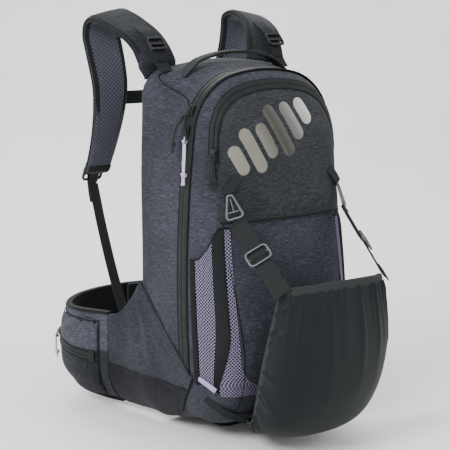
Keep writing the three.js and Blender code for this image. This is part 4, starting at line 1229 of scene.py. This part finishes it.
def ladder_buckle(width, length, thickness, rim=3.0, bar_width=4.0):
    """A moulded frame with two slots: a rounded rim, a ridged bar and a lifted lip."""
    outline = rounded_rectangle(width - rim, length - rim, 4, 5)
    line = xyz(outline[:, 0], outline[:, 1], 0)
    ahead = unit(np.roll(line, -1, 0) - np.roll(line, 1, 0))
    out = np.cross(ahead, [0, 0, 1])
    t, r = thickness / 2, rim / 2
    section = np.array([
        [-r, -t * 0.6], [-r, t * 0.6], [-r * 0.6, t], [r * 0.6, t],
        [r, t * 0.6], [r, -t * 0.6], [r * 0.6, -t], [-r * 0.6, -t],
    ])
    frame_part = sweep(line, out, UP, section, closed=True)
    half = width / 2 - rim
    cross = np.array([[-half - 0.6, 0, 0], [0, 0, 0], [half + 0.6, 0, 0]])
    flat = np.array([[-bar_width / 2, -t * 0.7], [-bar_width / 2, t * 0.5], [-bar_width / 4, t * 0.8],
                     [bar_width / 4, t * 0.8], [bar_width / 2, t * 0.5], [bar_width / 2, -t * 0.7]])
    middle = sweep(cross, BACK, UP, flat)
    lip = sweep(cross + [0, -length / 2 + rim * 0.4, t * 0.6], BACK, UP,
                flat * [0.9, 0.7])
    return merged([frame_part, middle, lip])


def add_strap_buckles(side, name):
    part = placed(ladder_buckle(28, 22, 5), [side * 105.5, 55, 553.2], [0, 13, 14], [0, -14, 13])
    piece(f"lifter_ladder_{name}", part, PLASTIC, f"{name}_lifter_buckle", [f"lifter_buckle_{name}"],
          bevel=0.4)
    part = placed(ladder_buckle(34, 26, 5), [side * 108, 231.5, 350], [0, 0.5, -1], [0, 1, 0.5])
    piece(f"strap_ladder_{name}", part, PLASTIC, f"{name}_strap_adjuster", [f"strap_adjuster_{name}"],
          bevel=0.4)


def add_sternum_strap():
    y, z = 190.4, 466
    for side, name, low, high, at_y in ((-1, "left", -122, -21.6, y), (1, "right", 20, 122, y + 4.2)):
        x = spread(30, low, high)
        bow = np.sin(spread(30) * math.pi) * 1.2
        line = xyz(x, at_y + bow, z)
        part = sweep(line, UP, BACK, strip_section(20, WEBBING))
        keeper_x = side * 110
        keeper = xyz(spread(6, keeper_x - 6, keeper_x + 6), at_y + 0.6, z)
        loop = sweep(keeper, UP, BACK, strip_section(22.5, 4.6))
        piece(f"sternum_strap_{name}", merged([part, loop]), WEB, "sternum_strap",
              [f"sternum_webbing_{name}"])
    for node in ("sternum_socket", "sternum_plug"):
        finish_node(node, PLASTIC, 0.7)


def finish_node(node, material, bevel):
    """A CAD node that is shown as it is, with softened edges and its own material."""
    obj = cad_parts[node]
    obj.data.materials.clear()
    obj.data.materials.append(material)
    soften(obj, bevel, 3, 35)


def add_haul_handle():
    rise = [[1, 524], [0.88, 530], [0.6, 536], [0.3, 539.5]]
    right = [[part * 74, 14, z] for part, z in rise]
    loop = Route([*mirrored(right, -1), [0, 14, 540.5], *right[::-1]])(spread(80))
    side, normal = frames_along(loop, [0, 1, 0])
    share = np.abs(spread(80) * 2 - 1)
    section = np.stack([strip_section(20 - 5 * (1 - smooth(s, 0.3, 0.6)), 3 + 2 * (1 - smooth(s, 0.3, 0.6)))
                        for s in share])
    part = sweep(loop, side, normal, section)
    rows = [stitches((loop + side * offset + normal * sign * 1.6)[7:-7], (normal * sign)[7:-7], 3, 4.4)
            for offset in (-8.2, 8.2) for sign in (1, -1)]
    piece("haul_loop", part, WEB, "haul_handle", ["haul_handle"])
    piece("haul_loop_stitching", merged(rows), THREAD, "haul_handle")
    feet = []
    for sign in (-1, 1):
        foot = mirrored([[70, 14, 527.5], [76, 14, 522.6], [84, 14, 515.8], [92, 14, 509]], sign)
        feet.append(ribbon(foot, [0, 1, 0], 21, 2.2))
    piece("haul_loop_feet", merged(feet), WEB, "bag")


# ---- hip belt --------------------------------------------------------------------------------


def belt_plan(degrees, reduce=0.0):
    turn = math.radians(degrees)
    half_width, half_depth = BELT_HALF_WIDTH - reduce, BELT_HALF_DEPTH - reduce
    return [half_width * math.cos(turn), BELT_Y + half_depth * math.sin(turn), 0]


WING_PLAN = {
    "left": Route([[SEAM[0], SEAM[1] + 0.6, 0]] + [belt_plan(a) for a in (-15, 3, 21, 39, 57, 75, 93, 112)]),
    "right": Route([[SEAM[0], SEAM[1] + 0.6, 0]] + [belt_plan(a) for a in (-15, 3, 21, 39)]
                   + [belt_plan(a, WING_THICKNESS + 2.4) for a in (57, 72, 87)]),
}


def wing_top(u):
    return mix(151, 143, smooth(u, 0, 0.5))


def wing_bottom(u):
    return mix(12, 66, smooth(u, 0.1, 0.62))


def wing_surface(side, name):
    plan = WING_PLAN[name]

    def surface(u, v):
        at = plan(u)
        ahead = plan(np.minimum(1, u + 0.004)) - plan(np.maximum(0, u - 0.004))
        outward = unit(xyz(ahead[..., 1], -ahead[..., 0], 0))
        z = mix(wing_bottom(u), wing_top(u), v)
        fade = 1 - smooth(u, 0.1, 0.7) * 0.85
        out = (3 + tuck(z, 1.0) * fade * 0.9)[..., None] * outward
        return xyz(side * (at[..., 0] + out[..., 0]), at[..., 1] + out[..., 1], z)

    return surface


def hip_pocket_surface(side, name):
    wing = wing_surface(side, name)
    return lambda u, v: wing(mix(0.05, 0.46, u), mix(0.04, 0.95, v))


def hip_puff(u, v):
    crown = lambda q: np.sqrt(np.maximum(0, 1 - np.abs(2 * q - 1) ** 3))
    return 2 + 9 * crown(u) * crown(v)


def fin_x(y):
    return 133.2 + 0.0017 * np.maximum(0, y - BACK_Y) ** 2


def fin_surface(side):
    end_y = SEAM[1] - 0.6
    blend = np.vectorize(depth_blend)
    tucks = np.vectorize(lambda z, k: float(tuck(z, k)))

    def surface(u, v):
        y = mix(mix(8, -64, np.sqrt(v)), end_y, u)
        line = mix(-64, end_y, u)
        flare = 151 + 62 * (np.maximum(0, end_y - line) / (end_y - 61)) ** 1.9
        top = np.where(line < 61, mix(96, 213, (line + 64) / 125), flare)
        k = blend(y)
        z = mix(mix(18, 3.4, k) + 10, top, v)
        return xyz(side * (fin_x(y) + tucks(z, k)), y, z)

    return surface


def fin_folds(points):
    """Soft folds that fan out below the fin's peak."""
    back, down = points[..., 1] - 76, 206 - points[..., 2]
    turn, reach = np.arctan2(back, np.maximum(down, 1)), np.hypot(back, down)
    folds = 0
    for place, width, height in ((-0.66, 0.07, 1.5), (-0.42, 0.1, 2.4), (-0.15, 0.08, 1.6), (0.1, 0.1, 1.9),
                                 (0.34, 0.08, 1.0)):
        bend = place + 0.07 * np.sin(reach / 26 + place * 9)
        folds = folds + height * bump_at(turn, bend, width * (1 + 12 / np.maximum(reach, 12)))
    fade = smooth(reach, 14, 60) * (1 - 0.85 * smooth(reach, 80, 170))
    return folds * fade + noise(points, (22, 34, 28)) * 0.9 + noise(points + 8, (10, 14, 10)) * 0.3


def add_hip_fin(side, name):
    surface = fin_surface(side)
    padding = lambda u: mix(3, WING_THICKNESS, smooth(u, 0.72, 0.97))
    rolled = lambda u, v: 1.4 * smooth(v, 0.94, 1) * (1 - smooth(u, 0.6, 0.8))
    high = lambda u, v: 3 - 2.2 * (1 - smooth(u, 0, 0.1)) - rolled(u, v)
    us = np.concatenate([[0, 0.01, 0.03], spread(44, 0.05, 1)])
    vs = np.concatenate([[0, 0.02], spread(34, 0.05, 0.97), [0.99, 1]])
    part = slab(surface, us, vs, lambda u, v: 3 - padding(u) + 0.2, high, rumple=fin_folds)
    fin = piece(f"fin_{name}", part, HEATHER_FIN, "bag", [f"hip_fin_{name}"], 60)

    # piping on the front edge, and the seam that crosses the fin low down
    v = spread(60)
    rows = [surface(np.zeros_like(v), v * 0.97) + [side * 0.8, -0.5, 0]]
    u = spread(60, 0.02, 1.0)
    v = spread(200)
    seam = []
    for share in u:
        column = surface(np.full_like(v, share), v)
        seam.append(column[np.argmax(column[:, 2] > 76)] + [side * 3.3, 0, 0])
    rows.append(np.array(seam))
    rows.append(surface(spread(60, 0.02, 0.62), np.full(61, 0.985)) + [side * 0.9, 0, 0.2])
    parts = [tube(resample(row, 3), 0.9, 7) for row in rows]
    piece(f"fin_seams_{name}", merged(parts), PIPING, "bag")


def add_hip_wing(side, name):
    surface = wing_surface(side, name)
    wing_body = f"{name}_hip_wing"
    thick = lambda u: mix(WING_THICKNESS, WING_THICKNESS - 2, u)
    us = np.concatenate([spread(70, 0, 0.97), [0.985, 0.995, 1]])
    vs = np.concatenate([[0, 0.02, 0.05], spread(16, 0.1, 0.9), [0.95, 0.98, 1]])
    edge = lambda u, v: smooth(np.minimum(v, 1 - v), 0, 0.06) * (1 - 0.7 * smooth(u, 0.98, 1))
    rumple = lambda p: noise(p, (24, 24, 30)) * 0.6
    low, high = lambda u, v: -thick(u) * 0.5, lambda u, v: -1.8 + 1.8 * edge(u, v)
    part = slab(surface, us, vs, low, high, WAIST, rumple)
    # a strip inside the wing's start, so that nothing shows between the fin and the wing
    heights = spread(40, 0, 0.98)
    root = surface(np.zeros_like(heights), heights) - [side * 3.6, 0.6, 0]
    underlap = ribbon(root, [0, 1, 0], 11, 1.2)
    part = merged([part, underlap])
    wing = piece(f"wing_{name}", part, HEATHER_BELT, None, sharp=60)
    quilt = lambda u, v: -thick(u) + 0.4 - 1.2 * smooth(np.abs(np.sin(v * math.pi * 5)), 0, 0.5) * edge(u, v)
    part = slab(surface, us, spread(60), quilt, lambda u, v: -thick(u) * 0.5 - 0.1, WAIST)
    lining = piece(f"wing_lining_{name}", part, LINING, None, sharp=60)

    u = spread(140)
    rims = []
    for v, lift in ((1.0, 0.8), (0.0, -0.8)):
        line = surface(u, np.full_like(u, v))
        normal = turned_out(normals_of(surface, u, np.full_like(u, 0.5)), line, WAIST)
        line = line - normal * (thick(u) * 0.5 + 0.4)[:, None] + [0, 0, lift]
        section = np.stack([strip_section(1, 1) * [t + 1.2, 4.6] for t in thick(u)])
        rims.append(sweep(line, normal, UP, section))
    rim = piece(f"wing_rim_{name}", merged(rims), BINDING, None, bevel=0.6)
    settle(rim)
    for obj in (wing, lining, rim):
        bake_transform(obj)
    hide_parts(f"hip_wing_{name}")

    pocket = hip_pocket_surface(side, name)
    steps = np.concatenate([[0, 0.01, 0.04], spread(40, 0.08, 0.92), [0.96, 0.99, 1]])
    rows = np.concatenate([[0, 0.02, 0.05], spread(26, 0.09, 0.91), [0.95, 0.98, 1]])
    folds = lambda p: noise(p, (30, 26, 14)) * 1.2 + noise(p + 9, (14, 12, 30)) * 0.5
    part = slab(pocket, steps, rows, 1.4, lambda u, v: hip_puff(u, v) - 1.6, WAIST, folds)
    bag = piece(f"hip_pouch_{name}", part, HEATHER_BELT, None, sharp=60)
    inflate(bag, 2.2, voxel=3.5)
    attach(bag, wing_body)
    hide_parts(f"hip_pocket_{name}")
    add_hip_pocket_trim(name, pocket, wing_body, bag)


def laid_on(obj, points, normals, lift, reach=24):
    """Points dropped along their normals onto an object's surface, with the heights evened out."""
    mesh = obj.data
    tree = BVHTree.FromPolygons([v.co for v in mesh.vertices], [p.vertices for p in mesh.polygons])
    heights = []
    for point, normal in zip(points, normals):
        start, down = Vector((point + normal * reach) * MM), Vector(-normal)
        hit = tree.ray_cast(start, down, 2 * reach * MM)
        heights.append(reach - hit[3] / MM if hit[0] else 0.0)
    heights = np.pad(heights, 2, mode="edge")
    level = np.max([heights[i : i + len(points)] for i in range(5)], axis=0)
    level = np.convolve(np.pad(level, 2, mode="edge"), np.ones(5) / 5, mode="valid")
    return points + normals * (level + lift)[:, None]


def add_hip_pocket_trim(name, pocket, body, bag):
    def facing(u, v):
        at = pocket(u, v)
        return at, turned_out(normals_of(pocket, u, v), at, WAIST)

    u = spread(80, 0.06, 0.985)
    at, normal = facing(u, np.full_like(u, 0.53))
    line = at + normal * (hip_puff(u, np.full_like(u, 0.53)) + 0.9)[:, None]
    up, out = frames_along(line, UP)
    out = turned_out(out, line, WAIST)
    a = (ZIP_ACROSS - 0.5) * 12
    section = np.vstack([np.stack([a, zip_profile(ZIP_ACROSS, -0.6)], -1), [[5.8, -1.6], [-5.8, -1.6]]])
    piece(f"hip_zip_strip_{name}", sweep(line, up, out, section), TAPE, body)

    rows = [tube(line + up * offset + out * 0.3, 0.9, 7) for offset in (-6.6, 6.6)]
    for edge_u in (0.03, 0.965):
        v = spread(40, 0.03, 0.97)
        rows.append(tube(laid_on(bag, *facing(np.full_like(v, edge_u), v), 0.1), 0.8, 7))
    for edge_v in (0.955, 0.05):
        u = spread(60, 0.02, 0.98)
        rows.append(tube(laid_on(bag, *facing(u, np.full_like(u, edge_v)), 0.2), 1.0, 8))
    piece(f"hip_pocket_seams_{name}", merged(rows), PIPING, body)

    # a webbing patch over the zip's end, and a small blank tab below the zip
    near = 8
    patch = sweep(line[:near] + out[:near] * 1.3, up[:near], out[:near], strip_section(17, 1.6, 0.4))
    u = spread(12, 0.17, 0.31)
    at = laid_on(bag, *facing(u, np.full_like(u, 0.4)), 0.5)
    normal = facing(u, np.full_like(u, 0.4))[1]
    ahead = unit(np.gradient(at, axis=0))
    tab = sweep(at, unit(np.cross(normal, ahead)), normal, strip_section(10, 1.1))
    piece(f"hip_pocket_patch_{name}", merged([patch, tab]), WEB, body, bevel=0.3)


def add_closure_tab():
    wing = wing_surface(-1, "left")
    surface = lambda u, v: wing(mix(0.48, 0.76, u), mix(0.42, 0.98, v))
    edge = lambda u, v: smooth(np.minimum(np.minimum(u, 1 - u) * 6, np.minimum(v, 1 - v) * 3), 0, 0.25)
    part = slab(surface, spread(50), spread(24), 1.6, lambda u, v: 3.2 + 1.6 * edge(u, v), WAIST)
    piece("closure_tab", part, WEB, "left_hip_wing", ["belt_closure_tab"], 60)
    corners = np.array([[0.05, 0.08], [0.05, 0.92], [0.95, 0.92], [0.95, 0.08], [0.05, 0.08]])
    t = np.concatenate([mix(corners[i], corners[i + 1], spread(30)[:-1, None]) for i in range(4)])
    at = surface(t[:, 0], t[:, 1])
    normal = turned_out(normals_of(surface, t[:, 0], t[:, 1]), at, WAIST)
    part = stitches(at + normal * 4.8, normal)
    piece("closure_tab_stitching", part, THREAD, "left_hip_wing")


# ---- helmet carrier --------------------------------------------------------------------------

POUCH_EDGE = Route([[58, -98, 33], [70, -118, 35], [80, -139, 46], [88, -156, 75], [93, -172, 115],
                    [95, -186, 155], [91, -197, 200], [85, -204, 242]])
POUCH_MIDDLE = Route([[0, -88, 25], [0, -120, 17], [0, -160, 17], [0, -202, 33], [0, -238, 85],
                      [0, -250, 150], [0, -246, 205], [0, -238, 250]])


def pouch_point(u, v):
    edge, middle = POUCH_EDGE(v), POUCH_MIDDLE(v)
    angle = (u - 0.5) * math.pi
    forward = np.cos(angle) ** 0.85
    x = np.sign(angle) * edge[..., 0] * np.abs(np.sin(angle)) ** 0.85
    swell = 1 + 0.12 * np.sin(math.pi * v) * np.sin(2 * np.abs(angle))
    y, z = (mix(edge[..., axis], middle[..., axis], forward) for axis in (1, 2))
    return xyz(x * swell, y, z)


def gathers(u, v):
    """Pleats hanging from the hem, and gathers drawn in along both sides."""
    pleats = 0
    for i in range(19):
        place = 0.1 + 0.045 * i + 0.011 * math.sin(i * 2.7)
        sway = place + 0.05 * math.sin(i * 1.9) * (1 - v)
        width = 0.0065 + 0.0035 * math.sin(i * 1.3) ** 2 + 0.035 * (1 - v)
        reach = 0.5 + 0.22 * math.sin(i * 2.2) ** 2
        pleats = pleats + (2.7 + 1.4 * math.sin(i * 2.1)) * bump_at(u, sway, width) * smooth(v, reach, 0.97)
    pleats = pleats * (0.45 + 0.55 * smooth(u, 0.25, 0.55)) * smooth(np.minimum(u, 1 - u), 0.05, 0.12)
    edge = np.minimum(u, 1 - u)
    drawn = 0
    for i in range(15):
        place = 0.07 + 0.061 * i + 0.014 * math.sin(i * 3.1)
        slope = 1.3 * (0.62 - place) + 0.2 * math.sin(i * 1.7)
        width = 0.008 + 0.004 * math.sin(i * 2.4) ** 2 + 0.05 * edge
        reach = 0.16 + 0.14 * math.sin(i * 1.1) ** 2
        height = 3.1 + 1.3 * math.sin(i * 1.7)
        drawn = drawn + height * bump_at(v, place - slope * edge, width) * (1 - smooth(edge, 0.03, reach))
    broad = noise(np.stack([u * 300, v * 260, 0 * u], -1), (70, 60, 50)) * 1.2
    return pleats + drawn + broad * smooth(edge, 0.04, 0.2) * smooth(v, 0.99, 0.8)


def add_pouch():
    first, last = 0.03, 0.968
    sheet = lambda u, v: pouch_point(mix(first, 1 - first, u), v * last)
    high = lambda u, v: 0.6 + gathers(mix(first, 1 - first, u), v * last)
    low = lambda u, v: high(u, v) - 1.2
    part = slab(sheet, spread(230), spread(150), low, high)
    pouch = piece("helmet_pouch", part, STRETCH, "helmet_carrier", ["carrier_pouch"], 60)

    def frame_at(t, w):
        u, v = 0.042 * w, 1 - 0.04 * w
        leg = 0.36
        left, right = t < leg, t > 1 - leg
        along_u = np.where(left, u, np.where(right, 1 - u, mix(u, 1 - u, (t - leg) / (1 - 2 * leg))))
        along_v = np.where(left, v * t / leg, np.where(right, v * (1 - t) / leg, v))
        return pouch_point(along_u, along_v)

    steps = np.unique(np.concatenate([spread(80, 0, 0.36), spread(70, 0.36, 0.64), spread(80, 0.64, 1)]))
    crown = lambda t, w: 0.5 + 0.9 * np.sqrt(np.maximum(0, 1 - (2 * w - 1) ** 4))
    part = slab(frame_at, steps, spread(10), lambda t, w: -crown(t, w), crown)
    piece("pouch_hem", part, HEM, "helmet_carrier", ["pouch_binding"], 60)
    rows = []
    for w in (0.16, 0.84):
        for low_t, high_t in ((0.01, 0.352), (0.368, 0.632), (0.648, 0.99)):
            t = spread(120, low_t, high_t)
            line = frame_at(t, np.full_like(t, w))
            normal = turned_out(normals_of(frame_at, t, np.full_like(t, w)), line, [0, -120, 130])
            rows.append(stitches(line + normal * 1.25, normal, 3.0, 4.6, 0.2, 0.3))
    piece("pouch_hem_stitching", merged(rows), THREAD, "helmet_carrier")

    for side, name in SIDES:
        route = [[119, -82, 70], [110, -92, 59], [101, -99.5, 50],
                 [88, -102, 42.5], [76, -103, 37.5], [62, -105, 34]]
        line = Route(mirrored(route, side))(spread(24))
        ahead = unit(np.gradient(line, axis=0))
        across = unit(np.cross(ahead, unit(line - [side * 40, -20, 90])))
        tab = sweep(line, across, unit(np.cross(across, ahead)), strip_section(12, 2.0))
        tab = piece(f"carrier_tab_{name}", tab, WEB, None)
        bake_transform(tab)


def add_carrier_strap(side, name):
    low, high = np.array([side * 90, -212, 242.0]), np.array([side * 95, -124, 321.0])
    along = unit(high - low)
    facing = np.array([side * 0.67, -0.52, 0.53])
    across = unit(np.cross(along, facing))
    outward = np.cross(across, along)
    reach = np.linalg.norm(high - low)
    t = spread(70)
    run = (t - 0.5) * reach
    over_bar = 3.6 * bump_at(run, 0, 3.4) - 0.3 * bump_at(np.abs(run), 8.5, 3)
    line = low + along * (t * reach)[:, None] + outward * over_bar[:, None]
    strap = sweep(line, across, outward, strip_section(25, WEBBING))
    back = low + along * (spread(24, 0.56, 0.96) * reach)[:, None] - outward * 2.1
    doubled = sweep(back, across, outward, strip_section(24.4, 1.5))
    turn = spread(12, -math.pi / 2, math.pi / 2)
    fold = high + along * (np.cos(turn) * 2.6 - 1.0)[:, None] + outward * (np.sin(turn) * 2.0 - 0.2)[:, None]
    around = sweep(fold, across, unit(along * np.cos(turn)[:, None] + outward * np.sin(turn)[:, None]),
                   strip_section(24.6, 1.4))
    patch = low + along * (spread(12, -0.06, 0.1) * reach)[:, None] + outward * 1.9
    sewn = sweep(patch, across, outward, strip_section(26, 1.9))
    piece(f"carrier_web_{name}", merged([strap, doubled, around, sewn]), WEB, "helmet_carrier",
          [f"carrier_strap_{name}"])
    box = []
    for a0, b0, a1, b1 in ((-10, -4, 10, -4), (10, -4, 10, 9), (10, 9, -10, 9), (-10, 9, -10, -4)):
        ends = np.array([low + across * a0 + along * b0, low + across * a1 + along * b1]) + outward * 2.9
        box.append(stitches(ends, outward, 2.6, 3.8, 0.15, 0.3))
    piece(f"carrier_web_stitching_{name}", merged(box), THREAD, "helmet_carrier")

    centre = (low + high) / 2 + outward * 3.2
    corners = [[-16, -10.5, 0], [16, -10.5, 0], [16, 10.5, 0], [-16, 10.5, 0]]
    middle = bar([-15.6, 0, -0.9], [15.6, 0, -0.9], 1.5)
    part = placed(merged([wire(corners, 1.8), middle]), centre, along, outward)
    piece(f"carrier_slide_{name}", part, METAL, f"{name}_carrier_slider",
          [f"carrier_slider_{name}"])

    place = high + along * 4 + outward * 1.8
    corners = [[-12.8, 1.7, 0], [12.8, 1.7, 0], [3.4, 34.3, 0], [-3.4, 34.3, 0]]
    cross = bar([-9.6, 11, 0], [9.6, 11, 0], 1.2)
    tongue = bar([0, 11, 0.2], [0, 30, 0.8], np.array([1.0, 1.3, 1.0]))
    part = placed(merged([wire(corners, 1.95), cross, tongue]), place, [-side * 0.02, 0.45, 0.89], outward)
    piece(f"carrier_catch_{name}", part, METAL, f"{name}_carrier_hook",
          [f"carrier_hook_{name}"])

    tab_top, tab_low = np.array([side * 79, 378.0]), np.array([side * 95, 358.5])
    t = spread(16)
    x, z = (mix(tab_top[i], tab_low[i], t) for i in (0, 1))
    lift = np.interp(t, [0, 0.2, 0.6, 1], [5.4, 7.4, 8.6, 8.8])
    base = front_at(x, z)
    out = unit(np.array([side * 0.35, -1, 0.1]))
    line = base + out * lift[:, None]
    loop = np.vstack([line, line[-1] + [side * 1.2, -0.2, -2.2], line[-1] + [side * 0.6, 2.4, -2.6],
                      line[-3] + [0, 3.4, -0.8]])
    ahead = unit(line[-1] - line[0])
    part = ribbon(loop, unit(np.cross(out, ahead)), 13.5, 1.8, 1.6)
    piece(f"hook_tab_{name}", part, WEB, "bag", [f"hook_loop_{name}"])


# ---- zip sliders and cords -------------------------------------------------------------------

ON_TAPE = ON_BAG + ZIP_THICKNESS + GAP + 2.2


def slider_parts():
    """A slider body with two wings and a bridge, in its own frame: Y along the zip, Z out."""
    half = np.array([
        [0.2, -7.4], [3.6, -7.2], [4.2, -5.5], [3.1, -2], [3.3, 1.5],
        [4.4, 4.5], [4.3, 6.6], [3.2, 7.4], [0.2, 7.4],
    ])
    outline = np.vstack([half, half[::-1] * [-1, 1]])
    rings = [xyz(outline[:, 0] * s, outline[:, 1] * s, z)
             for s, z in ((0.9, -2.1), (1, -1.4), (1, 0.4), (0.93, 1.1), (0.75, 1.4))]
    bridge = xyz(0, spread(12, -5.6, 5.6), 1.2 + 2.3 * np.sqrt(1 - spread(12, -0.97, 0.97) ** 2))
    arch_part = sweep(bridge, RIGHT, UP, strip_section(2.6, 1.3))
    return merged([closed_loft(rings), arch_part])


def knot(place, size, along=(0, 0, -1)):
    """An overhand knot, drawn as a short torus-knot winding."""
    t = spread(70, 0, 2 * math.pi)[:-1]
    ring = size * (1.0 + 0.5 * np.cos(3 * t))
    line = xyz(ring * np.cos(2 * t), ring * np.sin(2 * t), size * 0.75 * np.sin(3 * t))
    return placed(tube(line, size * 0.52, 7, closed=True), place, [1, 0.2, 0.1], along)


def add_pull(name, place, along, outward, body, route, radius, colour, ring_end, nodes):
    """A slider, its wire ring, its cord and the knot near the cord's end."""
    node, cord_node = nodes
    out = unit(np.array(outward, float))
    part = placed(slider_parts(), place, along, outward)
    crest = np.array(place) + out * 3.0
    end = np.array(ring_end, float)
    down = unit(end - crest)
    across = unit(np.cross(down, out))
    loop = [crest + across * 2.6, crest - across * 2.6, end - across * 2.2, end + across * 2.2]
    metal_part = merged([part, wire(loop, 0.95, 8)])
    piece(f"{name}_slider", metal_part, PLASTIC, body, [node], sharp=35)

    line = resample(Route(route)(spread(40)), 1.6)
    cord_part = tube(line, radius, 10)
    knot_at = line[int(len(line) * 0.78)]
    beside = unit(np.cross(line[-1] - line[0], out))
    away = np.interp(np.arange(len(line)), np.array([0, 0.12, 0.55, 0.78, 1]) * (len(line) - 1),
                     np.array([1.2, 2.7, 2.9, 1.4, 3.6]) * radius)
    second = tube((line + beside * away[:, None])[2:], radius * 0.96, 8)
    low_knot = knot(knot_at + beside * radius * 0.7, radius * 1.75)
    ties = [low_knot, knot(line[4] + beside * radius, radius * 1.5), second]
    tie = piece(f"{name}_knot", merged(ties), colour, body)
    pull = piece(f"{name}_cord", cord_part, colour, body, [cord_node])


def add_pulls():
    low_x = side_x(440) + ON_TAPE
    route = [[-low_x - 4.6, -47, 432], [-low_x - 5.6, -49, 420], [-low_x - 7, -50, 402],
             [-low_x - 9, -51, 384], [-low_x - 10, -52, 366]]
    add_pull("main_zip_low", [-low_x, ZIP_Y, 440], [0.1, 0, 1], [-1, 0, 0.1], "main_zip_lower", route, 1.35,
             LILAC_CORD, [-low_x - 6.4, -48.6, 424],
             ("main_zip_slider_lower", "main_zip_cord_lower"))

    x, z, _ = corner_arc(440, 86, 0.0)
    turn, reach = math.radians(25), 86 + ON_TAPE
    place = np.array([-x - reach * math.cos(turn), ZIP_Y, z + reach * math.sin(turn)])
    route = [[place[0] - 5.4, -41, place[2] - 5], [-126, -36, 455], [-131, -33, 444], [-136, -32, 428],
             [-137, -31, 408]]
    along, out = [math.sin(turn), 0, math.cos(turn)], [-math.cos(turn), 0, math.sin(turn)]
    add_pull("main_zip_high", place, along, out,
             "main_zip_upper", route, 1.2, BLACK_CORD, [-129.5, -35, 449],
             ("main_zip_slider_upper", "main_zip_cord_upper"))

    place = np.array([-109.01, -86.75, 410.43])
    out = np.array([-0.686, -0.724, 0.075])
    hang = place + out * 4.4
    route = [[hang[0], hang[1], hang[2] - 5], [hang[0] - 1, hang[1], hang[2] - 18],
             [hang[0] - 2, hang[1] + 0.5, hang[2] - 32], [hang[0] - 2.5, hang[1] + 1, hang[2] - 46]]
    add_pull("front_zip_pull", place, [0.068, 0.038, 0.997], out, "front_zip", route, 1.2, BLACK_CORD,
             [hang[0] - 0.6, hang[1] - 0.2, hang[2] - 13],
             ("front_zip_slider", "front_zip_cord"))

    hips = {
        "left": ([-148.11, 272.44, 98.71], [0.553, 0.814, 0.176], [-0.827, 0.562, 0]),
        "right": ([158.38, 254.63, 98.71], [-0.409, 0.888, 0.209], [0.908, 0.418, 0]),
    }
    for name, (place, along, out) in hips.items():
        place, out = np.array(place), np.array(out)
        hang = place + out * 4.2
        drift = out * [2, 2, 0]
        route = [hang - [0, 0, 2], hang + drift - [0, 0, 14], hang + drift - [0, 0, 28], hang - [0, 0, 42]]
        ring_end = (hang + drift * 0.6 - [0, 0, 9]).tolist()
        add_pull(f"hip_zip_{name}", place, along, out, f"{name}_hip_zip", route, 1.35, LILAC_CORD,
                 ring_end, (f"hip_zip_slider_{name}", f"hip_zip_cord_{name}"))


# ---- assembly --------------------------------------------------------------------------------

add_camera()
add_pulls()
add_shells()
add_base()
add_zips()
add_front_pocket()
add_back()
add_sternum_strap()
add_haul_handle()
add_pouch()
add_closure_tab()
for side, name in SIDES:
    add_side_pocket(side, name)
    add_shoulder_strap(side, name)
    add_strap_webbing(side, name)
    add_strap_buckles(side, name)
    add_hip_fin(side, name)
    add_hip_wing(side, name)
    add_carrier_strap(side, name)


def add_stage():
    """A pale floor that curves up into a backdrop behind the bag."""
    profile = [[-3.0, 0], [2.2, 0], [2.9, 0.12], [3.3, 0.5], [3.45, 1.2], [3.5, 4.0]]
    line = Route([[0, y, z] for y, z in profile])(spread(60))
    turn = Matrix.Rotation(PHOTO_TURN, 3, "Z")
    below = 0.0004
    vertices, faces = [], []
    for x in (-5.0, 5.0):
        vertices += [tuple(turn @ Vector((x, y, max(z, 0) - below))) for _, y, z in line]
    count = len(line)
    for i in range(count - 1):
        faces.append([i, i + 1, count + i + 1, count + i])
    mesh = bpy.data.meshes.new("stage")
    mesh.from_pydata(vertices, [], faces)
    mesh.polygons.foreach_set("use_smooth", [True] * len(mesh.polygons))
    mesh.materials.append(floor_material())
    stage = bpy.data.objects.new("stage", mesh)
    bpy.context.scene.collection.objects.link(stage)
    stage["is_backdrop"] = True


add_stage()
world = bpy.data.worlds.new("studio")
world.use_nodes = True
world.node_tree.nodes["Background"].inputs["Color"].default_value = (1, 1, 1, 1)
world.node_tree.nodes["Background"].inputs["Strength"].default_value = 1.05
bpy.context.scene.world = world
add_light("key", (-2.7, -0.7, 2.3), 1.4, 125)
add_light("fill", (1.6, -2.6, 1.5), 2.0, 34)
add_light("rim", (0.8, 2.3, 2.3), 1.6, 55)

low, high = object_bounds()
{"cad": [list(cad_low), list(cad_high)], "visual": [list(low), list(high)]}
